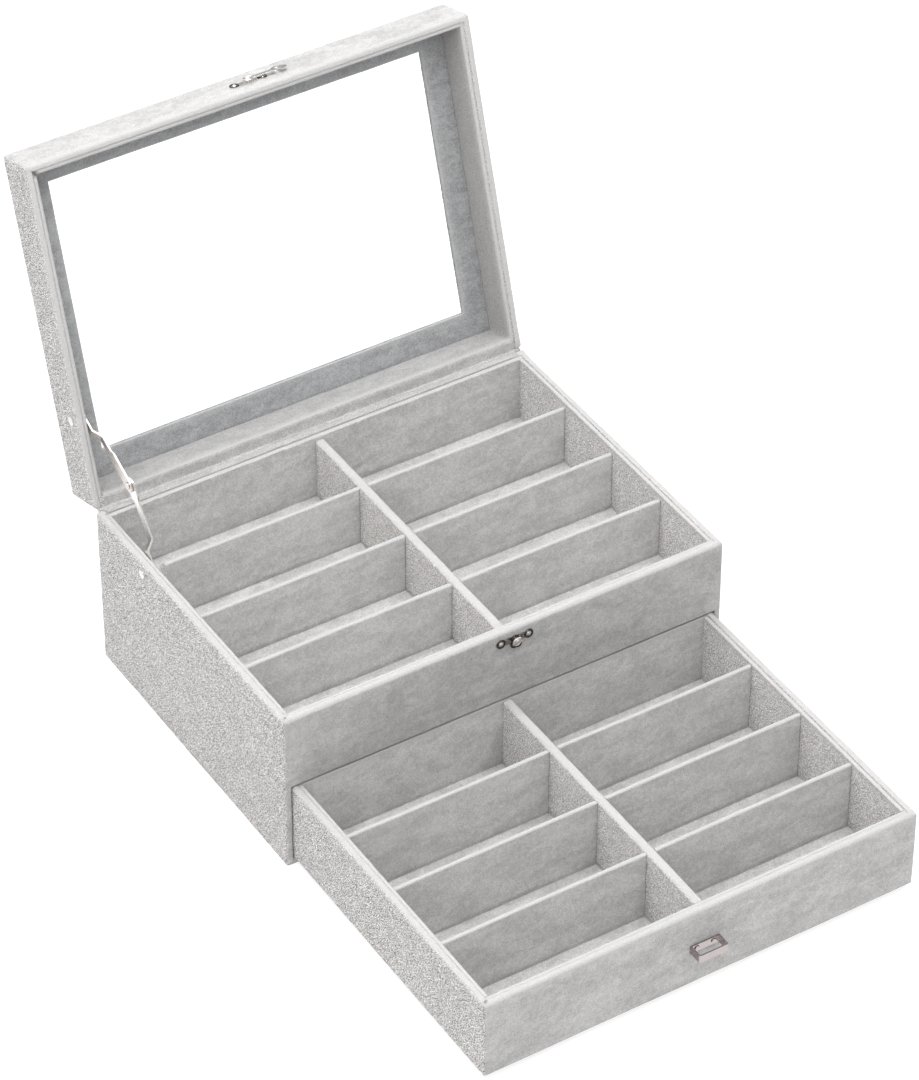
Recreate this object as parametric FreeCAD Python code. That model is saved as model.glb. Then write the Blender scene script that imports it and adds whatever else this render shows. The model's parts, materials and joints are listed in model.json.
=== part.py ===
"""Two-layer glasses organizer: a case with a tray, a drawer, a windowed lid, a folding stay and a hook latch.

Millimetres. The origin is the centre of the case's underside, +Z is up and the front faces -Y. Every
piece is built with the box shut and is then moved to the rest pose: lid open, drawer pulled out, stay
stretched and hook turned aside.
"""

import FreeCAD, Part
import math
import os

V = FreeCAD.Vector

# Outside of the closed case
WIDTH = 350.0
DEPTH = 256.0
CASE_HEIGHT = 130.0
LID_HEIGHT = 35.0
PARTING_GAP = 0.3

# Boards are velvet-covered card, liners are thinner card set a little below the rim
BOARD = 5.0
LINER = 3.0
LINER_DROP = 1.2

# Tray and drawer bay
BAY_TOP = 70.0
SHELF = 4.0
FLOOR_PAD = 2.0
CENTRE_DIVIDER = 7.0
CROSS_DIVIDER = 3.5
TRAY_CENTRE_TOP = 126.0
TRAY_CROSS_TOP = 125.0
SLOTS = 4

# Drawer
DRAWER_SIDE_GAP = 0.7
DRAWER_LIFT = 0.5
DRAWER_HEIGHT = 63.5
DRAWER_DEPTH = 248.0
DRAWER_BOTTOM = 4.0
DRAWER_PAD = 1.5
DRAWER_CENTRE_DROP = 1.3
DRAWER_CROSS_DROP = 1.8
DRAWER_OUT = 239.5

# Drawer pull: a strip bent into a rectangular loop
PULL_WIDTH = 23.0
PULL_REACH = 11.4
PULL_HEIGHT = 6.0
PULL_STRIP = 1.2
PULL_CORNER_R = 1.5
PULL_RIVET_SPAN = 13.0
PULL_RIVET_R = 1.0
PULL_RIVET_HEAD_R = 1.9
PULL_RIVET_HEAD = 0.8

# Lid
WINDOW_BORDER = 27.0
TOP_FRAME = 2.0
TOP_FRAME_LIP = 2.0
PANE = 1.5
PANE_REACH = 4.0
PANE_CLEARANCE = 0.3
RETAINER = 2.0
OPEN_ANGLE = 106.5

# Cloth hinge
HINGE_BEHIND_BACK = 1.0
CLOTH = 0.6
CLOTH_RECESS = 0.8
CLOTH_LEAF = 7.0
CLOTH_END_GAP = 0.2

# Folding stay on the left
STAY_FROM_HINGE = 66.5
STAY_FROM_PARTING = 9.0
STAY_ARM = 60.0
STAY_STRIP = 1.2
STAY_NARROW = 5.0
STAY_END_R = 4.0
STAY_KNEE_R = 4.5
STAY_WALL_GAP = 0.3
STAY_JOG_START = 13.5
STAY_JOG_END = 20.0
STAY_UPPER_JOG = 4.5
STAY_ARM_GAP = 0.3
STAY_UPPER_WIDE = 36.0
STAY_LOWER_WIDE = 51.0
STAY_TAPER = 3.0
RIVET_R = 1.5
RIVET_CLEARANCE = 0.06
RIVET_HEAD_R = 3.4
RIVET_HEAD = 0.8
RIVET_INNER_HEAD_R = 2.6
RIVET_INNER_GAP = 0.2
NOTCH_WIDTH = 7.0
NOTCH_DEPTH = 13.0

# Hook latch
LATCH_X = 5.0
LATCH_ABOVE_RIM = 13.5
CATCH_BELOW_RIM = 9.0
PLATE = 0.8
PLATE_NAIL_X = 11.0
PLATE_LOBE_R = 3.6
PLATE_BAR = 5.0
CATCH_LOWER_LOBE = 4.2
NAIL_R = 0.8
NAIL_HEAD_R = 2.0
NAIL_HEAD = 1.0
NAIL_DEPTH = 3.0
HOOK = 1.0
HOOK_STANDOFF = 2.2
PIN_R = 1.2
PIN_CLEARANCE = 0.05
PIN_HEAD_R = 2.3
PIN_HEAD = 1.0
PIN_HEAD_GAP = 0.2
HOOK_EYE_R = 3.4
HOOK_ARM = 3.2
HOOK_CROOK_R = 4.6
HOOK_SLOT_R = 2.0
STUD_R = 1.6
STUD_HEAD_R = 2.7
STUD_HEAD = 1.0
STUD_HEAD_GAP = 0.7

# Places worked out from the sizes above
HALF_X = WIDTH / 2
HALF_Y = DEPTH / 2
BAY_X = HALF_X - BOARD
INNER_X = BAY_X - LINER
INNER_Y = HALF_Y - BOARD - LINER
TRAY_FLOOR = BAY_TOP + SHELF + FLOOR_PAD
LID_RIM = CASE_HEIGHT + PARTING_GAP
LID_TOP = LID_RIM + LID_HEIGHT
FRAME_UNDERSIDE = LID_TOP - TOP_FRAME
PARTING = CASE_HEIGHT + PARTING_GAP / 2
HINGE_Y = HALF_Y + HINGE_BEHIND_BACK
WINDOW_X = HALF_X - WINDOW_BORDER
WINDOW_Y = HALF_Y - WINDOW_BORDER
DRAWER_X = BAY_X - DRAWER_SIDE_GAP
DRAWER_LOW = BOARD + DRAWER_LIFT
DRAWER_TOP = DRAWER_LOW + DRAWER_HEIGHT
DRAWER_FRONT = -HALF_Y
DRAWER_REAR = DRAWER_FRONT + DRAWER_DEPTH
DRAWER_FLOOR = DRAWER_LOW + DRAWER_BOTTOM + DRAWER_PAD
STAY_Y = HINGE_Y - STAY_FROM_HINGE
STAY_CASE_Z = PARTING - STAY_FROM_PARTING
STAY_LID_Z = PARTING + STAY_FROM_PARTING
STAY_WALL_X = -INNER_X + STAY_WALL_GAP
STAY_LOWER_JOG = STAY_UPPER_JOG + STAY_STRIP + STAY_ARM_GAP
LATCH_Z = LID_RIM + LATCH_ABOVE_RIM
CATCH_Z = CASE_HEIGHT - CATCH_BELOW_RIM
HOOK_REACH = LATCH_Z - CATCH_Z
HOOK_BACK = -HALF_Y - HOOK_STANDOFF
HOOK_FACE = HOOK_BACK - HOOK


def box(x0, x1, y0, y1, z0, z1):
    """A block between two corners."""
    return Part.makeBox(x1 - x0, y1 - y0, z1 - z0, V(x0, y0, z0))


def rod(start, axis, length, radius):
    """A cylinder from a point along a direction."""
    return Part.makeCylinder(radius, length, start, axis)


def ring(outer_x, outer_y, inner_x, inner_y, z0, z1):
    """A rectangular frame, centred on the Z axis."""
    outside = box(-outer_x, outer_x, -outer_y, outer_y, z0, z1)
    return outside.cut(box(-inner_x, inner_x, -inner_y, inner_y, z0 - 1, z1 + 1))


def polygon_prism(points, direction):
    """A flat outline, swept straight along a direction."""
    wire = Part.makePolygon(points + points[:1])
    return Part.Face(wire).extrude(direction)


def joined(shapes):
    """Several shapes as one solid."""
    whole = shapes[0].multiFuse(shapes[1:])
    return whole.removeSplitter()


def opened(shape):
    """A lid piece, turned back to the open pose about the hinge."""
    turned = shape.copy()
    turned.rotate(V(0, HINGE_Y, PARTING), V(1, 0, 0), -OPEN_ANGLE)
    return turned


def pulled(shape):
    """A drawer piece, slid out to the rest pose."""
    moved = shape.copy()
    moved.translate(V(0, -DRAWER_OUT, 0))
    return moved


def slot_places(low, high):
    """The low faces of the cross dividers that make equal slots between two walls."""
    slot = (high - low - (SLOTS - 1) * CROSS_DIVIDER) / SLOTS
    return [low + n * (slot + CROSS_DIVIDER) - CROSS_DIVIDER for n in range(1, SLOTS)]


def dividers(prefix, inner_x, low_y, high_y, floor, centre_top, cross_top):
    """The centre divider and its cross dividers, numbered from the front."""
    half = CENTRE_DIVIDER / 2
    made = {f"{prefix}_centre_divider": box(-half, half, low_y, high_y, floor, centre_top)}
    for number, y in enumerate(slot_places(low_y, high_y), 1):
        across = (y, y + CROSS_DIVIDER, floor, cross_top)
        made[f"{prefix}_divider_left_{number}"] = box(-inner_x, -half, *across)
        made[f"{prefix}_divider_right_{number}"] = box(half, inner_x, *across)
    return made


def liners(prefix, outer_x, front_y, back_y, floor, top):
    """Four liner cards: the front and back ones run the full width."""
    inner_x = outer_x - LINER
    between = (front_y + LINER, back_y - LINER, floor, top)
    return {
        f"{prefix}_liner_front": box(-outer_x, outer_x, front_y, front_y + LINER, floor, top),
        f"{prefix}_liner_back": box(-outer_x, outer_x, back_y - LINER, back_y, floor, top),
        f"{prefix}_liner_left": box(-outer_x, -inner_x, *between),
        f"{prefix}_liner_right": box(inner_x, outer_x, *between),
    }


def case_shell():
    """The boards that make the case and its drawer bay."""
    rivet_hole = rod(V(-HALF_X - 1, STAY_Y, STAY_CASE_Z), V(1, 0, 0), BOARD + 2, RIVET_R)
    rail = box(-BAY_X, BAY_X, -HALF_Y, -HALF_Y + BOARD, BAY_TOP, CASE_HEIGHT)
    for hole in plate_fixings(CATCH_Z, True):
        rail = rail.cut(hole)
    low_back = HALF_Y - BOARD
    return {
        "case_bottom_board": box(-BAY_X, BAY_X, -HALF_Y, low_back, 0, BOARD),
        "case_left_side": box(-HALF_X, -BAY_X, -HALF_Y, HALF_Y, 0, CASE_HEIGHT).cut(rivet_hole),
        "case_right_side": box(BAY_X, HALF_X, -HALF_Y, HALF_Y, 0, CASE_HEIGHT),
        "case_back_panel": box(-BAY_X, BAY_X, low_back, HALF_Y, 0, CASE_HEIGHT - CLOTH_RECESS),
        "case_front_rail": rail,
        "tray_shelf": box(-BAY_X, BAY_X, -HALF_Y + BOARD, low_back, BAY_TOP, BAY_TOP + SHELF),
    }


def tray():
    """The fixed upper tray inside the case."""
    edge = HALF_Y - BOARD
    top = CASE_HEIGHT - LINER_DROP
    made = {"tray_floor_pad": box(-BAY_X, BAY_X, -edge, edge, BAY_TOP + SHELF, TRAY_FLOOR)}
    made.update(liners("tray", BAY_X, -edge, edge, TRAY_FLOOR, top))
    hole = rod(V(-BAY_X - 1, STAY_Y, STAY_CASE_Z), V(1, 0, 0), LINER + 2, RIVET_R)
    made["tray_liner_left"] = made["tray_liner_left"].cut(hole)
    made.update(
        dividers("tray", INNER_X, -INNER_Y, INNER_Y, TRAY_FLOOR, TRAY_CENTRE_TOP, TRAY_CROSS_TOP)
    )
    rear = f"tray_divider_left_{SLOTS - 1}"
    notch = box(
        -INNER_X - 1,
        -INNER_X + NOTCH_WIDTH,
        0,
        INNER_Y,
        TRAY_CROSS_TOP - NOTCH_DEPTH,
        CASE_HEIGHT,
    )
    made[rear] = made[rear].cut(notch)
    return made


def drawer():
    """The drawer with its liners, dividers and pull, shut."""
    side = DRAWER_X - BOARD
    front = DRAWER_FRONT + BOARD
    rear = DRAWER_REAR - BOARD
    walls = (DRAWER_LOW, DRAWER_TOP)
    low, high = front + LINER, rear - LINER
    made = {
        "drawer_bottom": box(-side, side, front, rear, DRAWER_LOW, DRAWER_LOW + DRAWER_BOTTOM),
        "drawer_floor_pad": box(-side, side, front, rear, DRAWER_LOW + DRAWER_BOTTOM, DRAWER_FLOOR),
        "drawer_left_side": box(-DRAWER_X, -side, front, DRAWER_REAR, *walls),
        "drawer_right_side": box(side, DRAWER_X, front, DRAWER_REAR, *walls),
        "drawer_back": box(-side, side, rear, DRAWER_REAR, *walls),
    }
    made.update(liners("drawer", side, front, rear, DRAWER_FLOOR, DRAWER_TOP - LINER_DROP))
    made.update(
        dividers(
            "drawer",
            side - LINER,
            low,
            high,
            DRAWER_FLOOR,
            DRAWER_TOP - DRAWER_CENTRE_DROP,
            DRAWER_TOP - DRAWER_CROSS_DROP,
        )
    )
    panel = box(-DRAWER_X, DRAWER_X, DRAWER_FRONT, front, *walls)
    made.update(drawer_pull(panel))
    return made


def drawer_pull(panel):
    """The front panel with its strip pull and the two rivets through both."""
    middle = (DRAWER_LOW + DRAWER_TOP) / 2
    z0, z1 = middle - PULL_HEIGHT / 2, middle + PULL_HEIGHT / 2
    half = PULL_WIDTH / 2
    outside = box(-half, half, DRAWER_FRONT - PULL_REACH, DRAWER_FRONT, z0, z1)
    upright = [e for e in outside.Edges if abs(e.tangentAt(e.FirstParameter).z) > 0.5]
    corners = [e for e in upright if e.CenterOfMass.y < DRAWER_FRONT - 1]
    outside = outside.makeFillet(PULL_CORNER_R, corners)
    hollow = box(
        -half + PULL_STRIP,
        half - PULL_STRIP,
        DRAWER_FRONT - PULL_REACH + PULL_STRIP,
        DRAWER_FRONT - PULL_STRIP,
        z0 - 1,
        z1 + 1,
    )
    loop = outside.cut(hollow)
    rivets = []
    for x in (-PULL_RIVET_SPAN / 2, PULL_RIVET_SPAN / 2):
        head_start = V(x, DRAWER_FRONT - PULL_STRIP - PULL_RIVET_HEAD, middle)
        head = rod(head_start, V(0, 1, 0), PULL_RIVET_HEAD, PULL_RIVET_HEAD_R)
        shank_start = V(x, DRAWER_FRONT - PULL_STRIP, middle)
        shank = rod(shank_start, V(0, 1, 0), PULL_STRIP + BOARD, PULL_RIVET_R)
        loop = loop.cut(shank)
        panel = panel.cut(shank)
        rivets.append(joined([head, shank]))
    return {
        "drawer_front_panel": panel,
        "drawer_pull": loop,
        "drawer_pull_rivets": Part.makeCompound(rivets),
    }


def lid():
    """The lid's walls, top frame, pane, retainer and liner, shut."""
    walls = (LID_RIM, FRAME_UNDERSIDE)
    pane_low = FRAME_UNDERSIDE - PANE
    retainer_low = pane_low - RETAINER
    edge = HALF_Y - BOARD
    hole = rod(V(-HALF_X - 1, STAY_Y, STAY_LID_Z), V(1, 0, 0), BOARD + LINER + 2, RIVET_R)
    front = box(-BAY_X, BAY_X, -HALF_Y, -edge, *walls)
    for fixing in plate_fixings(LATCH_Z, False):
        front = front.cut(fixing)
    pane_x = WINDOW_X + PANE_REACH
    pane_y = WINDOW_Y + PANE_REACH
    seat = ring(BAY_X, edge, pane_x + PANE_CLEARANCE, pane_y + PANE_CLEARANCE, pane_low, FRAME_UNDERSIDE)
    retainer = joined([ring(BAY_X, edge, WINDOW_X, WINDOW_Y, retainer_low, pane_low), seat])
    liner = ring(BAY_X, edge, INNER_X, INNER_Y, LID_RIM + LINER_DROP, retainer_low)
    window = (WINDOW_X - TOP_FRAME_LIP, WINDOW_Y - TOP_FRAME_LIP)
    return {
        "lid_front_wall": front,
        "lid_back_wall": box(-BAY_X, BAY_X, edge, HALF_Y, LID_RIM + CLOTH_RECESS, FRAME_UNDERSIDE),
        "lid_left_wall": box(-HALF_X, -BAY_X, -HALF_Y, HALF_Y, *walls).cut(hole),
        "lid_right_wall": box(BAY_X, HALF_X, -HALF_Y, HALF_Y, *walls),
        "lid_top_frame": ring(HALF_X, HALF_Y, *window, FRAME_UNDERSIDE, LID_TOP),
        "lid_window_pane": box(-pane_x, pane_x, -pane_y, pane_y, pane_low, FRAME_UNDERSIDE),
        "lid_pane_retainer": retainer,
        "lid_liner": liner.cut(hole),
    }


def arc_from_level(start, end):
    """An arc that leaves a point level and reaches another point, in the YZ plane."""
    across, up = end.y - start.y, end.z - start.z
    radius = (across * across + up * up) / (2 * up)
    half_turn = math.atan2(across, radius - up) / 2
    middle = V(0, start.y + radius * math.sin(half_turn), start.z + radius * (1 - math.cos(half_turn)))
    return Part.Arc(start, middle, end).toShape()


def hinge_cloth():
    """The cloth strip between the case's back and the lid's back, in the open pose."""
    seam = HALF_Y - CLOTH_RECESS
    front = seam - CLOTH_LEAF
    case_low = CASE_HEIGHT - CLOTH_RECESS
    lid_high = LID_RIM + CLOTH_RECESS
    lid_leaf = [V(0, y, z) for y, z in ((seam, lid_high - CLOTH), (front, lid_high - CLOTH),
                                        (front, lid_high), (seam, lid_high))]
    near, near_end, far_end, far = [opened(Part.Vertex(p)).Point for p in lid_leaf]
    top_end = V(0, seam, case_low + CLOTH)
    low_end = V(0, seam, case_low)
    top_front = V(0, front, case_low + CLOTH)
    low_front = V(0, front, case_low)
    edges = [
        Part.makeLine(low_front, top_front),
        Part.makeLine(top_front, top_end),
        arc_from_level(top_end, near),
        Part.makeLine(near, near_end),
        Part.makeLine(near_end, far_end),
        Part.makeLine(far_end, far),
        arc_from_level(low_end, far),
        Part.makeLine(low_end, low_front),
    ]
    profile = Part.Face(Part.Wire(Part.__sortEdges__(edges)))
    profile.translate(V(-BAY_X + CLOTH_END_GAP, 0, 0))
    return profile.extrude(V(2 * (BAY_X - CLOTH_END_GAP), 0, 0))


def plate_fixings(z, is_catch):
    """Round holes for a latch plate: two nails, a third on the catch, and the centre pin or stud."""
    start = -HALF_Y - PLATE
    places = [(LATCH_X - PLATE_NAIL_X, z, NAIL_R), (LATCH_X + PLATE_NAIL_X, z, NAIL_R)]
    places.append((LATCH_X, z, STUD_R if is_catch else PIN_R))
    if is_catch:
        places.append((LATCH_X, z - CATCH_LOWER_LOBE, NAIL_R))
    return [rod(V(x, start, height), V(0, 1, 0), PLATE + NAIL_DEPTH, r) for x, height, r in places]


def latch_plate(z, is_catch):
    """A plate with a round lobe at each end; the catch also has one below its centre."""
    y = -HALF_Y - PLATE
    bar = box(LATCH_X - PLATE_NAIL_X, LATCH_X + PLATE_NAIL_X, y, -HALF_Y, z - PLATE_BAR / 2, z + PLATE_BAR / 2)
    lobes = [(LATCH_X - PLATE_NAIL_X, z), (LATCH_X + PLATE_NAIL_X, z)]
    if is_catch:
        lobes.append((LATCH_X, z - CATCH_LOWER_LOBE))
    shapes = [bar] + [rod(V(x, y, h), V(0, 1, 0), PLATE, PLATE_LOBE_R) for x, h in lobes]
    plate = joined(shapes)
    for hole in plate_fixings(z, is_catch):
        plate = plate.cut(hole)
    return plate


def nails(z, is_catch):
    """Round-headed nails through a latch plate, as separate solids in one group."""
    places = [(LATCH_X - PLATE_NAIL_X, z), (LATCH_X + PLATE_NAIL_X, z)]
    if is_catch:
        places.append((LATCH_X, z - CATCH_LOWER_LOBE))
    made = []
    for x, height in places:
        face = V(x, -HALF_Y - PLATE, height)
        shank = rod(face, V(0, 1, 0), PLATE + NAIL_DEPTH, NAIL_R)
        made.append(joined([dome(face, NAIL_HEAD_R, NAIL_HEAD), shank]))
    return Part.makeCompound(made)


def dome(face, radius, height):
    """A low round head that stands out towards -Y from a point on a face."""
    ball_r = (radius * radius + height * height) / (2 * height)
    ball = Part.makeSphere(ball_r, V(face.x, face.y - height + ball_r, face.z))
    return ball.common(rod(V(face.x, face.y - height, face.z), V(0, 1, 0), height, radius))


def latch_pivot_pin():
    """The pin that the hook swivels on, with its head outside the hook."""
    centre_y = HOOK_FACE - PIN_HEAD_GAP
    shank = rod(V(LATCH_X, centre_y, LATCH_Z), V(0, 1, 0), -HALF_Y - centre_y + NAIL_DEPTH, PIN_R)
    return joined([dome(V(LATCH_X, centre_y, LATCH_Z), PIN_HEAD_R, PIN_HEAD), shank])


def catch_stud():
    """The headed stud that the hook's slot drops over."""
    neck_end = HOOK_FACE - STUD_HEAD_GAP
    neck = rod(V(LATCH_X, neck_end, CATCH_Z), V(0, 1, 0), -HALF_Y - neck_end + NAIL_DEPTH, STUD_R)
    return joined([dome(V(LATCH_X, neck_end, CATCH_Z), STUD_HEAD_R, STUD_HEAD), neck])


def latch_hook():
    """The flat hook, pointing to +X: an eye, an arm and a crook that opens downwards."""
    towards = V(0, 1, 0)
    eye = rod(V(LATCH_X, HOOK_FACE, LATCH_Z), towards, HOOK, HOOK_EYE_R)
    crook_x = LATCH_X + HOOK_REACH
    crook = rod(V(crook_x, HOOK_FACE, LATCH_Z), towards, HOOK, HOOK_CROOK_R)
    arm = box(LATCH_X, crook_x, HOOK_FACE, HOOK_BACK, LATCH_Z - HOOK_ARM / 2, LATCH_Z + HOOK_ARM / 2)
    slot_round = rod(V(crook_x, HOOK_FACE - 1, LATCH_Z), towards, HOOK + 2, HOOK_SLOT_R)
    slot_mouth = box(
        crook_x - HOOK_SLOT_R,
        crook_x + HOOK_SLOT_R,
        HOOK_FACE - 1,
        HOOK_BACK + 1,
        LATCH_Z - HOOK_CROOK_R - 1,
        LATCH_Z,
    )
    hole = rod(V(LATCH_X, HOOK_FACE - 1, LATCH_Z), towards, HOOK + 2, PIN_R + PIN_CLEARANCE)
    return joined([eye, crook, arm]).cut(slot_round).cut(slot_mouth).cut(hole)


def stay_arm(jog, wide_from, knee_hole):
    """One arm along +Y from its wall pivot at the origin, its strip jogged towards +X."""
    runs = [(0.0, 0.0), (STAY_JOG_START, 0.0), (STAY_JOG_END, jog), (STAY_ARM + STAY_KNEE_R, jog)]
    low = [V(x, y, 0) for y, x in [(-STAY_END_R, 0.0)] + runs[1:]]
    high = [V(p.x + STAY_STRIP, p.y, 0) for p in reversed(low)]
    reach = STAY_KNEE_R + 1
    strip = polygon_prism(low + high, V(0, 0, 2 * reach))
    strip.translate(V(0, 0, -reach))
    across = V(1, 0, 0)
    depth = jog + STAY_STRIP + 2
    narrow = STAY_NARROW / 2
    taper_start = wide_from - STAY_TAPER
    outline = [
        rod(V(-1, 0, 0), across, depth, STAY_END_R),
        box(-1, depth - 1, 0, STAY_ARM, -narrow, narrow),
        box(-1, depth - 1, wide_from, STAY_ARM, -STAY_KNEE_R, STAY_KNEE_R),
        rod(V(-1, STAY_ARM, 0), across, depth, STAY_KNEE_R),
        polygon_prism(
            [
                V(-1, taper_start, -narrow),
                V(-1, wide_from, -STAY_KNEE_R),
                V(-1, wide_from, STAY_KNEE_R),
                V(-1, taper_start, narrow),
            ],
            V(depth, 0, 0),
        ),
    ]
    arm = strip.common(joined(outline))
    arm = arm.cut(rod(V(-1, 0, 0), across, depth, RIVET_R + RIVET_CLEARANCE))
    return arm.cut(rod(V(-1, STAY_ARM, 0), across, depth, knee_hole))


def stay_angles():
    """Directions of the two arms in the rest pose, in degrees from +Y towards +Z."""
    lid_pivot = opened(Part.Vertex(V(0, STAY_Y, STAY_LID_Z))).Point
    across, up = lid_pivot.y - STAY_Y, lid_pivot.z - STAY_CASE_Z
    chord = math.degrees(math.atan2(up, across))
    bend = math.degrees(math.acos(math.hypot(across, up) / 2 / STAY_ARM))
    return chord + bend, chord + 180 - bend, lid_pivot


def placed(shape, angle, pivot):
    """A stay piece turned from +Y to its direction and moved to its wall pivot."""
    moved = shape.copy()
    moved.rotate(V(0, 0, 0), V(1, 0, 0), angle)
    moved.translate(V(STAY_WALL_X, pivot.y, pivot.z))
    return moved


def wall_rivet(pivot):
    """A rivet through the wall, with a wide head outside and a small one inside the arm."""
    head_x = STAY_WALL_X + STAY_STRIP + RIVET_INNER_GAP
    shank = rod(V(-HALF_X, pivot.y, pivot.z), V(1, 0, 0), head_x + HALF_X, RIVET_R)
    outer = rod(V(-HALF_X - RIVET_HEAD, pivot.y, pivot.z), V(1, 0, 0), RIVET_HEAD, RIVET_HEAD_R)
    inner = rod(V(head_x, pivot.y, pivot.z), V(1, 0, 0), RIVET_HEAD, RIVET_INNER_HEAD_R)
    return joined([outer, shank, inner])


def stay():
    """The two arms, their wall rivets and the two halves of the knee rivet."""
    lower_angle, upper_angle, lid_pivot = stay_angles()
    case_pivot = V(0, STAY_Y, STAY_CASE_Z)
    across = V(1, 0, 0)
    lower_knee = V(STAY_LOWER_JOG, STAY_ARM, 0)
    upper_knee = V(STAY_UPPER_JOG, STAY_ARM, 0)
    tail = joined(
        [
            rod(lower_knee, across, STAY_STRIP, RIVET_R),
            rod(lower_knee + V(STAY_STRIP, 0, 0), across, RIVET_HEAD, RIVET_INNER_HEAD_R),
        ]
    )
    head = joined(
        [
            rod(upper_knee, across, STAY_STRIP, RIVET_R),
            rod(upper_knee - V(RIVET_HEAD, 0, 0), across, RIVET_HEAD, RIVET_INNER_HEAD_R),
        ]
    )
    lower = stay_arm(STAY_LOWER_JOG, STAY_LOWER_WIDE, RIVET_R)
    upper = stay_arm(STAY_UPPER_JOG, STAY_UPPER_WIDE, RIVET_R)
    return {
        "stay_lower_arm": placed(lower, lower_angle, case_pivot),
        "stay_knee_rivet_tail": placed(tail, lower_angle, case_pivot),
        "stay_upper_arm": placed(upper, upper_angle, lid_pivot),
        "stay_knee_rivet_head": placed(head, upper_angle, lid_pivot),
        "stay_case_rivet": wall_rivet(case_pivot),
        "stay_lid_rivet": opened(wall_rivet(V(0, STAY_Y, STAY_LID_Z))),
    }


def latch():
    """Plates, nails, pin, stud and hook: those on the lid are opened with it."""
    return {
        "catch_plate": latch_plate(CATCH_Z, True),
        "catch_nails": nails(CATCH_Z, True),
        "catch_stud": catch_stud(),
        "latch_plate": opened(latch_plate(LATCH_Z, False)),
        "latch_nails": opened(nails(LATCH_Z, False)),
        "latch_pivot_pin": opened(latch_pivot_pin()),
        "latch_hook": opened(latch_hook()),
    }


def main():
    """Build every piece in the rest pose and write it to its own file."""
    os.makedirs("parts", exist_ok=True)
    pieces = {}
    pieces.update(case_shell())
    pieces.update(tray())
    pieces.update({name: pulled(shape) for name, shape in drawer().items()})
    pieces.update({name: opened(shape) for name, shape in lid().items()})
    pieces.update(latch())
    pieces.update(stay())
    pieces["hinge_cloth"] = hinge_cloth()
    for name, shape in pieces.items():
        shape.exportStep(f"parts/{name}.step")
        print(name, "valid" if shape.isValid() else "INVALID", len(shape.Solids), round(shape.Volume, 1))


main()
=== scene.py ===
"""Looks for a two-layer glasses organizer.

A velvet-covered case with a divided tray, a divided drawer, a windowed lid on a cloth hinge, a folding
stay and a hook latch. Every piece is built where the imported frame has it, in metres. Most pieces are
shaped with the box shut, which keeps them square to the axes, and are then carried to the rest pose.
"""

import json
import logging
import math
from dataclasses import dataclass, field
from enum import Enum

import bmesh
import bpy
from mathutils import Matrix, Vector, noise

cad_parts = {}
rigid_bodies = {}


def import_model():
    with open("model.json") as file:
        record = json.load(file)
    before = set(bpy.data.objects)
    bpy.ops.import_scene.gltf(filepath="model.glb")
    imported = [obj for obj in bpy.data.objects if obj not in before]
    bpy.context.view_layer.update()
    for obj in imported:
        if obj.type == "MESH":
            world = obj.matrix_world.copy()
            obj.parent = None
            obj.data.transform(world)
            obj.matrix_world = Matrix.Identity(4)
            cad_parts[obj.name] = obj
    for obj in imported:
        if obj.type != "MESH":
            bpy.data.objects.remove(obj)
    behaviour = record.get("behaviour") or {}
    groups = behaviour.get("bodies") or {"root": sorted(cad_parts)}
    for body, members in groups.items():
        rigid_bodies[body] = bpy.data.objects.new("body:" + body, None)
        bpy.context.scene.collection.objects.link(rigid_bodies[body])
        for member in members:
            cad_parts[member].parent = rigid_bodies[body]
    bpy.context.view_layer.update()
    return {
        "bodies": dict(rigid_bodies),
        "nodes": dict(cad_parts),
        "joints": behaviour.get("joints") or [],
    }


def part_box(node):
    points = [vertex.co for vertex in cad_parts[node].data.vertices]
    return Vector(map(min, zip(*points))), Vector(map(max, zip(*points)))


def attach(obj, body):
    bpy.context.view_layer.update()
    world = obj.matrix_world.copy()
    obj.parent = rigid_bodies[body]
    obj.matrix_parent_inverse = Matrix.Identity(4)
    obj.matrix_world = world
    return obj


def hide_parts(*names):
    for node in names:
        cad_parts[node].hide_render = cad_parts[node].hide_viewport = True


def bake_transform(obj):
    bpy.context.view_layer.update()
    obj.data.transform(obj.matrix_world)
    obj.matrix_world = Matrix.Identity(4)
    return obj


LOG = logging.getLogger("glasses_organizer")
MM = 0.001
WELD = 0.002 * MM
ON_PLANE = 1e-5


class Side(Enum):
    """Which side of a piece is its exposed rim, where a painted rim tone stands in for how light falls on the
    edge.
    """

    TOP = 1
    BOTTOM = -1
    NONE = 0


class Slot(Enum):
    """The record's material slots, passed along with each piece."""

    BOARD = "velvet_covered_board"
    LINING = "velvet_lining"
    HINGE = "hinge_velvet"
    LATCH = "latch_metal"
    PULL = "pull_metal"


# ---------------------------------------------------------------------------------------------------
# Shared shader effects
# ---------------------------------------------------------------------------------------------------


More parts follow.
